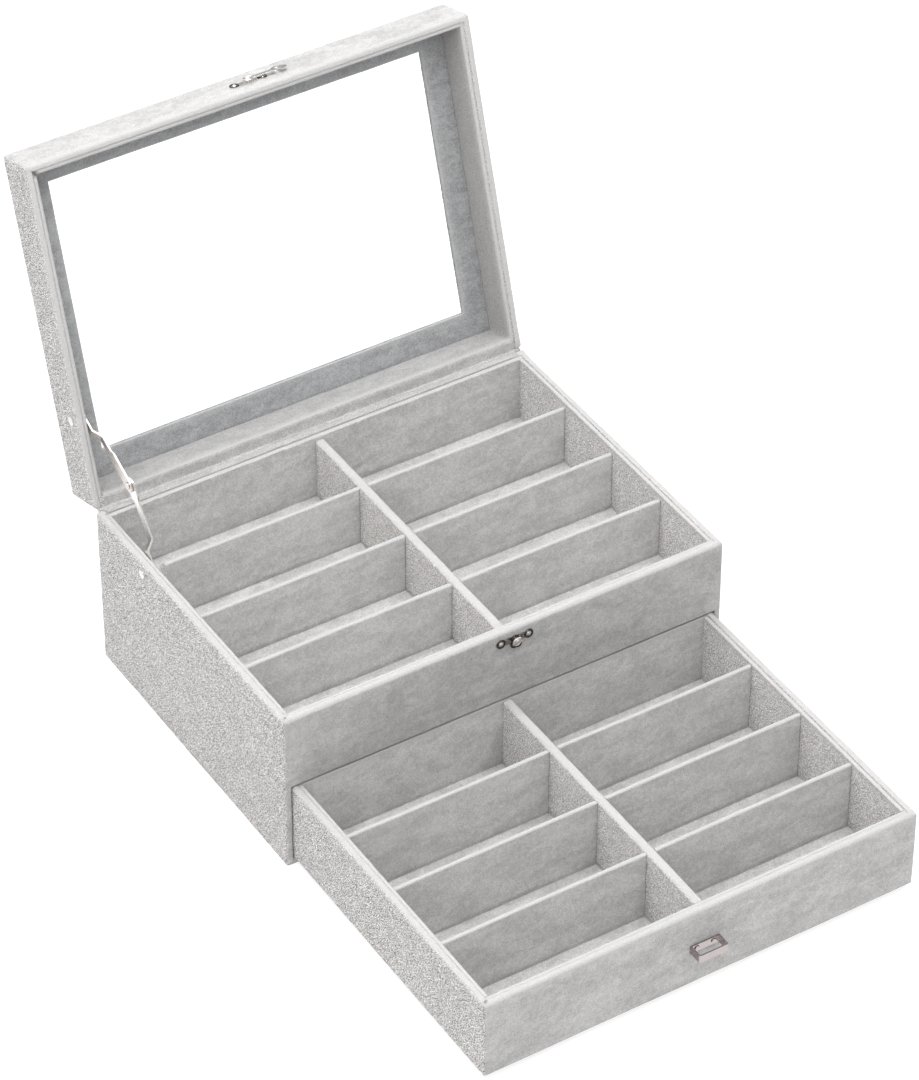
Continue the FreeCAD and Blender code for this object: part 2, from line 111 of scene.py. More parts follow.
@dataclass
class Graph:
    """A small helper for wiring a node tree.

    Attributes:
        tree: The node tree being wired.
    """

    tree: bpy.types.NodeTree

    def add(self, kind: str, **values: object) -> bpy.types.Node:
        """Add a node and set its properties and unlinked inputs.

        Args:
            kind: The node's type name.
            **values: Properties by name, or inputs by name with underscores for spaces.

        Returns:
            The new node.
        """
        node = self.tree.nodes.new(kind)
        for name, value in values.items():
            if hasattr(node, name):
                setattr(node, name, value)
            else:
                node.inputs[name.replace("_", " ")].default_value = value
        return node

    def link(self, source: bpy.types.NodeSocket, target: bpy.types.NodeSocket) -> None:
        """Join an output to an input."""
        self.tree.links.new(source, target)

    def math(self, operation: str, first: object, second: object = 0.0) -> bpy.types.NodeSocket:
        """Add a math node.

        Args:
            operation: The math operation.
            first: A socket or a number.
            second: A socket or a number.

        Returns:
            The result socket.
        """
        node = self.tree.nodes.new("ShaderNodeMath")
        node.operation = operation
        for index, value in enumerate((first, second)):
            if isinstance(value, bpy.types.NodeSocket):
                self.link(value, node.inputs[index])
            else:
                node.inputs[index].default_value = value
        return node.outputs[0]

    def spread(self, value: bpy.types.NodeSocket, low: float, high: float) -> bpy.types.NodeSocket:
        """Stretch the range low to high of a value smoothly over 0 to 1.

        Args:
            value: The value to stretch.
            low: What becomes 0.
            high: What becomes 1.

        Returns:
            The stretched value.
        """
        node = self.tree.nodes.new("ShaderNodeMapRange")
        node.interpolation_type = "SMOOTHSTEP"
        self.link(value, node.inputs["Value"])
        node.inputs["From Min"].default_value = low
        node.inputs["From Max"].default_value = high
        return node.outputs["Result"]

    def blend(self, share: object, first: object, second: object) -> bpy.types.NodeSocket:
        """Mix two colours.

        Args:
            share: How much of the second colour, a socket or a number.
            first: A colour socket or a colour.
            second: A colour socket or a colour.

        Returns:
            The mixed colour.
        """
        node = self.tree.nodes.new("ShaderNodeMix")
        node.data_type = "RGBA"
        for socket, value in ((node.inputs[0], share), (node.inputs[6], first), (node.inputs[7], second)):
            if isinstance(value, bpy.types.NodeSocket):
                self.link(value, socket)
            else:
                socket.default_value = value
        return node.outputs[2]

    def noise(
        self, place: bpy.types.NodeSocket, size: object, detail: float, rough: float, warp: float = 0.0
    ) -> bpy.types.NodeSocket:
        """Add a noise whose features have a given size.

        Args:
            place: Coordinates in millimetres.
            size: Feature size in millimetres, a socket or a number.
            detail: Number of octaves.
            rough: Share kept from one octave to the next.
            warp: Distortion.

        Returns:
            The noise value socket.
        """
        node = self.tree.nodes.new("ShaderNodeTexNoise")
        self.link(place, node.inputs["Vector"])
        self.link(self.math("DIVIDE", 1.0, size), node.inputs["Scale"])
        node.inputs["Detail"].default_value = detail
        node.inputs["Roughness"].default_value = rough
        node.inputs["Distortion"].default_value = warp
        return node.outputs["Fac"]


def new_group(name: str, inputs: list[tuple[str, str, object]], outputs: list[tuple[str, str]]) -> Graph:
    """Make an empty shader node group with named sockets.

    Args:
        name: The group's name.
        inputs: Name, socket type and default of each input.
        outputs: Name and socket type of each output.

    Returns:
        A graph on the group's tree, with its input and output nodes named "in" and "out".
    """
    tree = bpy.data.node_groups.new(name, "ShaderNodeTree")
    for label, kind, default in inputs:
        socket = tree.interface.new_socket(label, in_out="INPUT", socket_type=kind)
        socket.default_value = default
    for label, kind in outputs:
        tree.interface.new_socket(label, in_out="OUTPUT", socket_type=kind)
    graph = Graph(tree)
    graph.add("NodeGroupInput").name = "in"
    graph.add("NodeGroupOutput").name = "out"
    return graph


def place_in_mm(graph: Graph) -> tuple[bpy.types.NodeSocket, bpy.types.NodeSocket]:
    """Add object coordinates in millimetres and the object's own surface direction.

    Args:
        graph: The node tree.

    Returns:
        The two outputs.
    """
    where = graph.add("ShaderNodeTexCoord")
    scaled = graph.add("ShaderNodeVectorMath", operation="SCALE")
    scaled.inputs["Scale"].default_value = 1.0 / MM
    graph.link(where.outputs["Object"], scaled.inputs[0])
    return scaled.outputs[0], where.outputs["Normal"]


def velvet_nap_group() -> bpy.types.NodeTree:
    """Short velvet pile: brushed patches, pile speckle, a painted tint on faces turned to the sides, and a
    painted rim tone along exposed rims for how light falls on them.

    Returns:
        The node group, with outputs Color, Roughness and Height.
    """
    colour, number = "NodeSocketColor", "NodeSocketFloat"
    graph = new_group(
        "Velvet nap",
        [
            ("Light", colour, (0.6, 0.6, 0.6, 1)),
            ("Shade", colour, (0.4, 0.4, 0.4, 1)),
            ("Patch Size", number, 16.0),
            ("Patch Depth", number, 0.5),
            ("Speckle Size", number, 0.9),
            ("Speckle Depth", number, 0.2),
            ("Side Speckle", number, 0.3),
            ("Painted Rim Tone", colour, (0.5, 0.5, 0.5, 1)),
            ("Painted Rim Share", number, 1.0),
        ],
        [("Color", colour), ("Roughness", number), ("Height", number)],
    )
    given = graph.tree.nodes["in"].outputs
    place, facing = place_in_mm(graph)
    apart = graph.add("ShaderNodeSeparateXYZ")
    graph.link(facing, apart.inputs[0])
    sideways = graph.math("POWER", graph.math("ABSOLUTE", apart.outputs["X"]), 2.0)
    stretched = graph.add("ShaderNodeVectorMath", operation="MULTIPLY")
    stretched.inputs[1].default_value = (0.55, 1.0, 1.15)
    graph.link(place, stretched.inputs[0])
    cloud = graph.spread(graph.noise(stretched.outputs[0], given["Patch Size"], 3.0, 0.55, 0.6), 0.34, 0.66)
    small_patch = graph.math("MULTIPLY", given["Patch Size"], 0.28)
    wisps = graph.spread(graph.noise(place, small_patch, 1.5, 0.55, 0.9), 0.34, 0.66)
    brushed = graph.math("ADD", graph.math("MULTIPLY", cloud, 0.55), graph.math("MULTIPLY", wisps, 0.45))
    against = graph.math("SUBTRACT", 0.5, brushed)
    calm_sides = graph.math("SUBTRACT", 1.0, graph.math("MULTIPLY", sideways, 0.6))
    patch_depth = graph.math("MULTIPLY", given["Patch Depth"], calm_sides)
    shaded = graph.math("ADD", 0.5, graph.math("MULTIPLY", patch_depth, against))
    brushed_tone = graph.blend(shaded, given["Light"], given["Shade"])
    # Painted rim tone: where the rim mask is set, the colour is blended to a fixed grey. This is painted
    # light on the outer velvet and painted shade on the paler inner velvet, and its speckle is calmed.
    rim = graph.add("ShaderNodeAttribute", attribute_name="rim")
    painted_rim_mix = graph.math("MULTIPLY", rim.outputs["Fac"], given["Painted Rim Share"])
    ground = graph.blend(painted_rim_mix, brushed_tone, given["Painted Rim Tone"])

    turned = graph.add("ShaderNodeVectorRotate", rotation_type="EULER_XYZ")
    turned.inputs["Rotation"].default_value = (0.6, 0.9, 0.4)
    graph.link(place, turned.inputs["Vector"])
    pile = turned.outputs[0]
    coarse = graph.spread(graph.noise(pile, given["Speckle Size"], 1.0, 0.6), 0.41, 0.59)
    half_size = graph.math("MULTIPLY", given["Speckle Size"], 0.5)
    fine = graph.spread(graph.noise(pile, half_size, 1.0, 0.6), 0.41, 0.59)
    grains = graph.math("ADD", graph.math("MULTIPLY", coarse, 0.75), graph.math("MULTIPLY", fine, 0.25))
    depth = graph.math("ADD", given["Speckle Depth"], graph.math("MULTIPLY", given["Side Speckle"], sideways))
    calmer = graph.math("SUBTRACT", 1.0, graph.math("MULTIPLY", rim.outputs["Fac"], 0.55))
    lift = graph.math("SUBTRACT", graph.math("MULTIPLY", grains, 2.0), 1.0)
    strength = graph.math("ADD", 1.0, graph.math("MULTIPLY", graph.math("MULTIPLY", depth, calmer), lift))
    # Painted tint: faces turned to the sides are made a little darker and warmer, standing in for how the
    # light falls on them.
    painted_side_tint = graph.blend(sideways, (1, 1, 1, 1), (0.985, 0.966, 0.958, 1))
    grey_tone = graph.add("ShaderNodeVectorMath", operation="SCALE")
    graph.link(painted_side_tint, grey_tone.inputs[0])
    graph.link(strength, grey_tone.inputs["Scale"])
    speckled = graph.add("ShaderNodeMix", data_type="RGBA", blend_type="MULTIPLY")
    speckled.inputs[0].default_value = 1.0
    graph.link(ground, speckled.inputs[6])
    graph.link(grey_tone.outputs[0], speckled.inputs[7])
    coloured = speckled.outputs[2]

    out = graph.tree.nodes["out"]
    graph.link(coloured, out.inputs["Color"])
    rough = graph.math("SUBTRACT", 0.97, graph.math("MULTIPLY", brushed, 0.14))
    graph.link(rough, out.inputs["Roughness"])
    heights = graph.math("ADD", graph.math("MULTIPLY", grains, 0.8), graph.math("MULTIPLY", wisps, 0.2))
    graph.link(graph.math("ADD", heights, graph.math("MULTIPLY", cloud, 0.3)), out.inputs["Height"])
    return graph.tree


def metal_wear_group() -> bpy.types.NodeTree:
    """Handled plating: faint clouds, fine rubbing marks and dull specks.

    Returns:
        The node group, with outputs Color, Roughness and Height.
    """
    colour, number = "NodeSocketColor", "NodeSocketFloat"
    graph = new_group(
        "Plating wear",
        [
            ("Bright", colour, (0.8, 0.8, 0.8, 1)),
            ("Dull", colour, (0.5, 0.5, 0.5, 1)),
            ("Mark Size", number, 1.2),
            ("Dullness", number, 0.3),
            ("Low Roughness", number, 0.12),
            ("High Roughness", number, 0.35),
        ],
        [("Color", colour), ("Roughness", number), ("Height", number)],
    )
    given = graph.tree.nodes["in"].outputs
    place, _ = place_in_mm(graph)
    clouds = graph.spread(graph.noise(place, given["Mark Size"], 4.0, 0.65, 0.4), 0.38, 0.7)
    drawn = graph.add("ShaderNodeVectorMath", operation="MULTIPLY")
    drawn.inputs[1].default_value = (0.2, 4.0, 4.0)
    graph.link(place, drawn.inputs[0])
    rubs = graph.spread(graph.noise(drawn.outputs[0], given["Mark Size"], 3.0, 0.7), 0.42, 0.66)
    worn = graph.math("MULTIPLY", given["Dullness"], graph.math("ADD", graph.math("MULTIPLY", clouds, 0.6),
                                                                graph.math("MULTIPLY", rubs, 0.4)))
    out = graph.tree.nodes["out"]
    graph.link(graph.blend(worn, given["Bright"], given["Dull"]), out.inputs["Color"])
    span = graph.math("SUBTRACT", given["High Roughness"], given["Low Roughness"])
    mixed = graph.math("ADD", graph.math("MULTIPLY", clouds, 0.5), graph.math("MULTIPLY", rubs, 0.5))
    graph.link(graph.math("ADD", given["Low Roughness"], graph.math("MULTIPLY", span, mixed)),
               out.inputs["Roughness"])
    graph.link(rubs, out.inputs["Height"])
    return graph.tree


# ---------------------------------------------------------------------------------------------------
# Finishes
# ---------------------------------------------------------------------------------------------------


def grey(value: float, warm: float = 0.0) -> tuple[float, float, float, float]:
    """A grey, slightly warmer or cooler."""
    return (value * (1 + warm), value, value * (1 - warm), 1.0)


def blank_material(name: str) -> tuple[bpy.types.Material, Graph, bpy.types.Node]:
    """Make a material with nothing set.

    Args:
        name: The material's name.

    Returns:
        The material, its graph and its Principled node.
    """
    made = bpy.data.materials.new(name)
    made.use_nodes = True
    return made, Graph(made.node_tree), made.node_tree.nodes["Principled BSDF"]


def textured(name: str, effect: bpy.types.NodeTree, values: dict, strength: float, relief: float) -> tuple:
    """Make a material whose colour, roughness and relief come from a shared effect.

    Args:
        name: The material's name.
        effect: The effect's node group.
        values: What the group's inputs are set to, by name.
        strength: Strength of the relief, 0 to 1.
        relief: Height of the relief in millimetres.

    Returns:
        The material and its Principled node.
    """
    made, graph, shader = blank_material(name)
    group = graph.add("ShaderNodeGroup", node_tree=effect)
    for label, value in values.items():
        group.inputs[label].default_value = value
    bump = graph.add("ShaderNodeBump")
    bump.inputs["Strength"].default_value = strength
    bump.inputs["Distance"].default_value = relief * MM
    graph.link(group.outputs["Height"], bump.inputs["Height"])
    graph.link(group.outputs["Color"], shader.inputs["Base Color"])
    graph.link(group.outputs["Roughness"], shader.inputs["Roughness"])
    graph.link(bump.outputs["Normal"], shader.inputs["Normal"])
    return made, shader


@dataclass(frozen=True)
class VelvetFinish:
    """Velvet glued over card.

    Attributes:
        name: The material's name.
        light: Linear grey of the pile brushed towards the light.
        shade: Linear grey of the pile brushed away from it.
        warm: Share that red is raised and blue is lowered.
        patch: Size of the brushed patches in millimetres.
        patch_depth: How strongly the patches show.
        speckle: Size of the pile speckle in millimetres.
        speckle_depth: How strongly the speckle shows.
        side_speckle: How much more it shows on faces turned to the sides.
        painted_rim_tone: Linear grey painted on the exposed rims, standing in for how light falls on them.
        painted_rim_share: How much of that painted tone the rims take.
        pile: Height of the pile relief in millimetres.
        sheen: Weight of the sheen.
    """

    name: str
    light: float
    shade: float
    warm: float = 0.012
    patch: float = 17.0
    patch_depth: float = 1.0
    speckle: float = 0.72
    speckle_depth: float = 0.18
    side_speckle: float = 1.0
    painted_rim_tone: float = 0.50
    painted_rim_share: float = 1.0
    pile: float = 0.4
    sheen: float = 0.3

    def material(self, nap: bpy.types.NodeTree) -> bpy.types.Material:
        """Build the material.

        Args:
            nap: The shared velvet nap group.

        Returns:
            The material.
        """
        values = {
            "Light": grey(self.light, self.warm),
            "Shade": grey(self.shade, self.warm),
            "Patch Size": self.patch,
            "Patch Depth": self.patch_depth,
            "Speckle Size": self.speckle,
            "Speckle Depth": self.speckle_depth,
            "Side Speckle": self.side_speckle,
            "Painted Rim Tone": grey(self.painted_rim_tone, self.warm),
            "Painted Rim Share": self.painted_rim_share,
        }
        made, shader = textured(self.name, nap, values, 0.7, self.pile)
        shader.inputs["Sheen Weight"].default_value = self.sheen
        shader.inputs["Sheen Roughness"].default_value = 0.45
        shader.inputs["Specular IOR Level"].default_value = 0.12
        return made


@dataclass(frozen=True)
class MetalFinish:
    """Plated metal.

    Attributes:
        name: The material's name.
        bright: Linear colour of clean plating.
        dull: Linear colour where it is rubbed.
        mark: Size of the marks in millimetres.
        dullness: How much of the dull colour shows.
        smooth: Lowest roughness.
        rough: Highest roughness.
        relief: Height of the rubbing marks in millimetres.
    """

    name: str
    bright: tuple[float, float, float]
    dull: tuple[float, float, float]
    mark: float = 1.4
    dullness: float = 0.5
    smooth: float = 0.1
    rough: float = 0.32
    relief: float = 0.01

    def material(self, wear: bpy.types.NodeTree) -> bpy.types.Material:
        """Build the material.

        Args:
            wear: The shared plating wear group.

        Returns:
            The material.
        """
        values = {
            "Bright": (*self.bright, 1),
            "Dull": (*self.dull, 1),
            "Mark Size": self.mark,
            "Dullness": self.dullness,
            "Low Roughness": self.smooth,
            "High Roughness": self.rough,
        }
        made, shader = textured(self.name, wear, values, 0.5, self.relief)
        shader.inputs["Metallic"].default_value = 1.0
        return made


@dataclass(frozen=True)
class PaneFinish:
    """The clear window sheet.

    Attributes:
        name: The material's name.
        ior: Index of refraction.
        smear: Highest roughness, where it has been wiped.
    """

    name: str
    ior: float = 1.45
    smear: float = 0.03

    def material(self) -> bpy.types.Material:
        """Build the material.

        Returns:
            The material.
        """
        made, graph, shader = blank_material(self.name)
        place, _ = place_in_mm(graph)
        wiped = graph.spread(graph.noise(place, 55.0, 3.0, 0.6, 1.2), 0.45, 0.75)
        graph.link(graph.math("MULTIPLY", wiped, self.smear), shader.inputs["Roughness"])
        shader.inputs["Base Color"].default_value = (1, 1, 1, 1)
        shader.inputs["IOR"].default_value = self.ior
        shader.inputs["Transmission Weight"].default_value = 1.0
        return made


@dataclass
class Wardrobe:
    """Every material of the organizer, made once and handed out by name."""

    made: dict[str, bpy.types.Material] = field(default_factory=dict)

    def fill(self) -> None:
        """Build all the finishes."""
        nap = velvet_nap_group()
        wear = metal_wear_group()
        velvets = [
            VelvetFinish("Outer velvet", 0.51, 0.36, patch=17.0),
            # Inner and Divider velvet are paler copies of the lining velvet: painted light, lifting the
            # compartments that their walls shade.
            VelvetFinish("Inner velvet painted light", 0.67, 0.48, patch=15.0, side_speckle=0.52),
            VelvetFinish("Divider velvet painted light", 0.67, 0.49, patch=13.0, side_speckle=0.52),
            # Lid lining and Frame velvet are darker copies of the same velvet: painted shade on the lid's
            # inside and on the retainer under it.
            VelvetFinish("Lid lining velvet painted shade", 0.44, 0.33, patch=13.0, side_speckle=0.12),
            VelvetFinish(
                "Frame velvet painted shade", 0.41, 0.28, warm=-0.012, patch=10.0, side_speckle=0.0, painted_rim_share=0.8
            ),
            VelvetFinish("Hinge velvet", 0.47, 0.35, patch=12.0, painted_rim_share=0.0),
        ]
        for finish in velvets:
            self.made[finish.name] = finish.material(nap)
        metals = [
            MetalFinish("Latch plating", (0.86, 0.84, 0.81), (0.40, 0.37, 0.34)),
            MetalFinish(
                "Cast plating", (0.62, 0.59, 0.56), (0.02, 0.018, 0.016), mark=0.8, dullness=1.7, rough=0.4
            ),
            # Near-black rings round the catch's nails, knob and lobe and round the latch's nails: painted
            # shade and dark outlines.
            MetalFinish("Painted shade rings", (0.07, 0.06, 0.055), (0.03, 0.028, 0.025), rough=0.5),
            MetalFinish(
                "Stay plating", (0.70, 0.66, 0.63), (0.38, 0.34, 0.31), mark=2.2, smooth=0.16, rough=0.38
            ),
            MetalFinish(
                "Pull plating", (0.46, 0.41, 0.41), (0.33, 0.28, 0.28), mark=2.0, smooth=0.14, rough=0.34
            ),
        ]
        for finish in metals:
            self.made[finish.name] = finish.material(wear)
        pane = PaneFinish("Window sheet")
        self.made[pane.name] = pane.material()

    def dress(self, piece: bpy.types.Object, name: str) -> None:
        """Give a piece its material."""
        piece.data.materials.clear()
        piece.data.materials.append(self.made[name])


# ---------------------------------------------------------------------------------------------------
# Places and meshes
# ---------------------------------------------------------------------------------------------------


def box_round(points: list[Vector]) -> tuple[Vector, Vector]:
    """Lowest and highest corners of the box round some points."""
    low = Vector([min(p[axis] for p in points) for axis in range(3)])
    return low, Vector([max(p[axis] for p in points) for axis in range(3)])


def fade(distance: float, reach: float) -> float:
    """A share that is 1 at no distance and falls evenly to 0 at the reach."""
    return max(0.0, 1.0 - distance / reach)


@dataclass
class Station:
    """Where one body's pieces are with the box shut, and how they get to the rest pose.

    Attributes:
        body: The body's name.
        nodes: The frame's node objects by name.
        wardrobe: The finishes.
        to_rest: The move from shut to rest.
    """

    body: str
    nodes: dict[str, bpy.types.Object]
    wardrobe: Wardrobe
    to_rest: Matrix = field(default_factory=lambda: Matrix.Identity(4))

    def shut_points(self, node: str) -> list[Vector]:
        """A node's points with the box shut."""
        back = self.to_rest.inverted()
        return [back @ vertex.co for vertex in self.nodes[node].data.vertices]

    def shut_box(self, node: str) -> tuple[Vector, Vector]:
        """Lowest and highest corners of a node with the box shut."""
        return box_round(self.shut_points(node))

    def middle(self, node: str) -> Vector:
        """The middle of a node with the box shut."""
        low, high = self.shut_box(node)
        return Vector([(low[axis] + high[axis]) / 2 for axis in range(3)])

    def settle(self, piece: bpy.types.Object, finish: str, slot: Slot, *stands_for: str) -> bpy.types.Object:
        """Dress a piece, carry it to the rest pose and give it to the body.

        Args:
            piece: A piece shaped with the box shut.
            finish: The name of its finish.
            slot: Its material slot.
            *stands_for: The CAD nodes it stands for.

        Returns:
            The piece.
        """
        piece.data.transform(self.to_rest)
        piece.data.update()
        self.give(piece, finish, slot, *stands_for)
        return piece

    def give(self, piece: bpy.types.Object, finish: str, slot: Slot, *stands_for: str) -> None:
        """Dress a piece that is already in its rest place and give it to the body.

        Args:
            piece: The piece.
            finish: The name of its finish.
            slot: Not used.
            *stands_for: The CAD nodes it stands for.
        """
        self.wardrobe.dress(piece, finish)
        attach(piece, self.body)
        if stands_for:
            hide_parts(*stands_for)
        LOG.info("%s: %d faces on %s", piece.name, len(piece.data.polygons), self.body)


def stations(frame: dict, wardrobe: Wardrobe) -> dict[str, Station]:
    """Work out each body's station from the joints.

    Args:
        wardrobe: The finishes.

    Returns:
        Stations by body name.
    """
    joints = {joint["name"]: joint for joint in frame["joints"]}
    made = {body: Station(body, frame["nodes"], wardrobe) for body in frame["bodies"]}
    hinge = joints["lid_hinge"]
    pivot = Matrix.Translation(Vector(hinge["pos_m"]))
    turn = Matrix.Rotation(-math.radians(hinge["range_deg"][1]), 4, Vector(hinge["axis"]))
    made["lid"].to_rest = pivot @ turn @ pivot.inverted()
    made["latch_hook"].to_rest = made["lid"].to_rest
    slide = joints["drawer_slide"]
    made["drawer"].to_rest = Matrix.Translation(-slide["range_m"][1] * Vector(slide["axis"]))
    return made


def finish_mesh(name: str, bm: bmesh.types.BMesh) -> bpy.types.Object:
    """Turn a bmesh into a smooth-shaded object whose flat faces stay flat.

    Args:
        name: The object's name.
        bm: The mesh, which is freed.

    Returns:
        The object.
    """
    bmesh.ops.recalc_face_normals(bm, faces=bm.faces)
    mesh = bpy.data.meshes.new(name)
    bm.to_mesh(mesh)
    bm.free()
    mesh.polygons.foreach_set("use_smooth", [True] * len(mesh.polygons))
    piece = bpy.data.objects.new(name, mesh)
    bpy.context.scene.collection.objects.link(piece)
    evened = piece.modifiers.new("Even normals", "WEIGHTED_NORMAL")
    evened.keep_sharp = True
    return piece


def roughen(piece: bpy.types.Object, amount: float, size: float, seed: float) -> None:
    """Push a surface in and out by a soft noise, as glued velvet over card does.

    Args:
        piece: The piece, shaped with the box shut.
        amount: Largest push in millimetres.
        size: Feature size in millimetres.
        seed: Shifts the noise.
    """
    shift = Vector((seed, 2.3 * seed, -1.7 * seed))
    normals = [vertex.normal.copy() for vertex in piece.data.vertices]
    for vertex, normal in zip(piece.data.vertices, normals):
        broad = noise.noise(vertex.co / (size * MM) + shift)
        fine = noise.noise(vertex.co / (0.3 * size * MM) - shift)
        vertex.co += normal * (broad + 0.45 * fine) * amount * MM
    piece.data.update()


def paint_rim_light(piece: bpy.types.Object, side: Side, edge: float, width: float) -> None:
    """Write how near each point is to the exposed rim, as the mask for the velvet's painted rim tone, which
    stands in for how light falls on the rim.

    Args:
        piece: The piece, shaped with the box shut.
        side: Which side the rim is on.
        edge: Height of the rim in metres.
        width: How far the painted rim tone reaches, in millimetres.
    """
    layer = piece.data.attributes.new("rim", "FLOAT", "POINT")
    values = []
    for vertex in piece.data.vertices:
        near = fade(abs(vertex.co.z - edge), width * MM)
        values.append(0.0 if side is Side.NONE else near * near * (3.0 - 2.0 * near))
    layer.data.foreach_set("value", values)


def tuck_back_rim(
    piece: bpy.types.Object, back: tuple[Vector, Vector], inner_face: float, side: Side, edge: float
) -> None:
    """Draw a band's rim in a little along its back board, between the sides, to take the hinge cloth.

    Args:
        piece: The band, shaped with the box shut.
        back: The back board's lowest and highest corners, in metres.
        inner_face: Y of the back board's inner face, in metres.
        side: Which side the rim is on.
        edge: Height of the rim in metres.
    """
    shift = (edge - back[1].z) if side is Side.TOP else (back[0].z - edge)
    reach = 5.0 * MM
    for vertex in piece.data.vertices:
        inside = min(vertex.co.x - back[0].x, back[1].x - vertex.co.x)
        if vertex.co.y < inner_face - 0.5 * MM or inside < 0.4 * MM:
            continue
        near = fade((edge - vertex.co.z) * side.value, reach)
        vertex.co.z -= shift * near * side.value
    piece.data.update()


@dataclass
class SoftBlock:
    """A card or board covered in velvet: a block whose six sides are rounded by their own radii.

    Attributes:
        low: Lowest corner in metres.
        high: Highest corner in metres.
        rounding: Radii in millimetres on the sides -X, +X, -Y, +Y, -Z, +Z.
        step: Grid spacing in millimetres.
        rim: Where the exposed rim is.
        painted_rim_width: Reach of the painted rim tone in millimetres.
        wobble: Surface unevenness in millimetres.
    """

    low: Vector
    high: Vector
    rounding: tuple[float, float, float, float, float, float]
    step: float = 6.0
    rim: Side = Side.TOP
    painted_rim_width: float = 2.2
    wobble: float = 0.12

    def cuts(self, axis: int) -> list[float]:
        """Grid positions along an axis, closer together where the edges round over.

        Args:
            axis: 0, 1 or 2 for X, Y or Z.

        Returns:
            The positions in metres, in rising order.
        """
        low, high = self.low[axis], self.high[axis]
        near, far = (radius * MM for radius in self.rounding[2 * axis : 2 * axis + 2])
        steps = [1 - math.tan(math.radians(angle)) for angle in (45, 33.75, 22.5, 11.25)]
        start, end = low + near, high - far
        count = max(1, round((end - start) / (self.step * MM)))
        middle = [start + (end - start) * n / count for n in range(count + 1)]
        before = [low + near * s for s in steps] if near else []
        after = [high - far * s for s in reversed(steps)] if far else []
        return before + middle + after

    def rounded(self, point: Vector) -> Vector:
        """Move a point of the plain block's surface on to the rounded one.

        Args:
            point: The point, in metres.

        Returns:
            Where it goes.
        """
        inner = Vector(point)
        reach = Vector((0, 0, 0))
        share = Vector((0, 0, 0))
        for axis in range(3):
            near, far = (radius * MM for radius in self.rounding[2 * axis : 2 * axis + 2])
            if near and point[axis] < self.low[axis] + near:
                inner[axis] = self.low[axis] + near
                reach[axis] = near
                share[axis] = (point[axis] - inner[axis]) / near
            elif far and point[axis] > self.high[axis] - far:
                inner[axis] = self.high[axis] - far
                reach[axis] = far
                share[axis] = (point[axis] - inner[axis]) / far
        if share.length > 1e-9:
            share.normalize()
        return inner + Vector([reach[axis] * share[axis] for axis in range(3)])

    def build(self, name: str, seed: float) -> bpy.types.Object:
        """Build the block.

        Args:
            name: The piece's name.
            seed: Shifts the unevenness.

        Returns:
            The piece, shaped with the box shut.
        """
        bm = bmesh.new()
        cuts = [self.cuts(axis) for axis in range(3)]
        found: dict[tuple[int, int, int], bmesh.types.BMVert] = {}

        def vertex(key: tuple[int, int, int]) -> bmesh.types.BMVert:
            """The vertex at a grid place, made when first asked for.

            Args:
                key: Its number along X, Y and Z.

            Returns:
                The vertex.
            """
            if key not in found:
                found[key] = bm.verts.new(self.rounded(Vector([cuts[a][key[a]] for a in range(3)])))
            return found[key]

        for axis in range(3):
            across, up = (axis + 1) % 3, (axis + 2) % 3
            for level in (0, len(cuts[axis]) - 1):
                for i in range(len(cuts[across]) - 1):
                    for j in range(len(cuts[up]) - 1):
                        corners = []
                        for a, b in ((i, j), (i + 1, j), (i + 1, j + 1), (i, j + 1)):
                            key = [0, 0, 0]
                            key[axis], key[across], key[up] = level, a, b
                            corners.append(vertex(tuple(key)))
                        bm.faces.new(corners)
        bmesh.ops.remove_doubles(bm, verts=bm.verts, dist=WELD)
        piece = finish_mesh(name, bm)
        edge = self.high.z if self.rim is Side.TOP else self.low.z
        paint_rim_light(piece, self.rim, edge, self.painted_rim_width)
        roughen(piece, self.wobble, 26.0, seed)
        return piece


@dataclass
class Corner:
    """A corner of a band's cross-section.

    Attributes:
        inset: Distance in from the outer face, in metres.
        height: Height in metres.
        radius: Rounding in millimetres.
    """

    inset: float
    height: float
    radius: float = 0.0


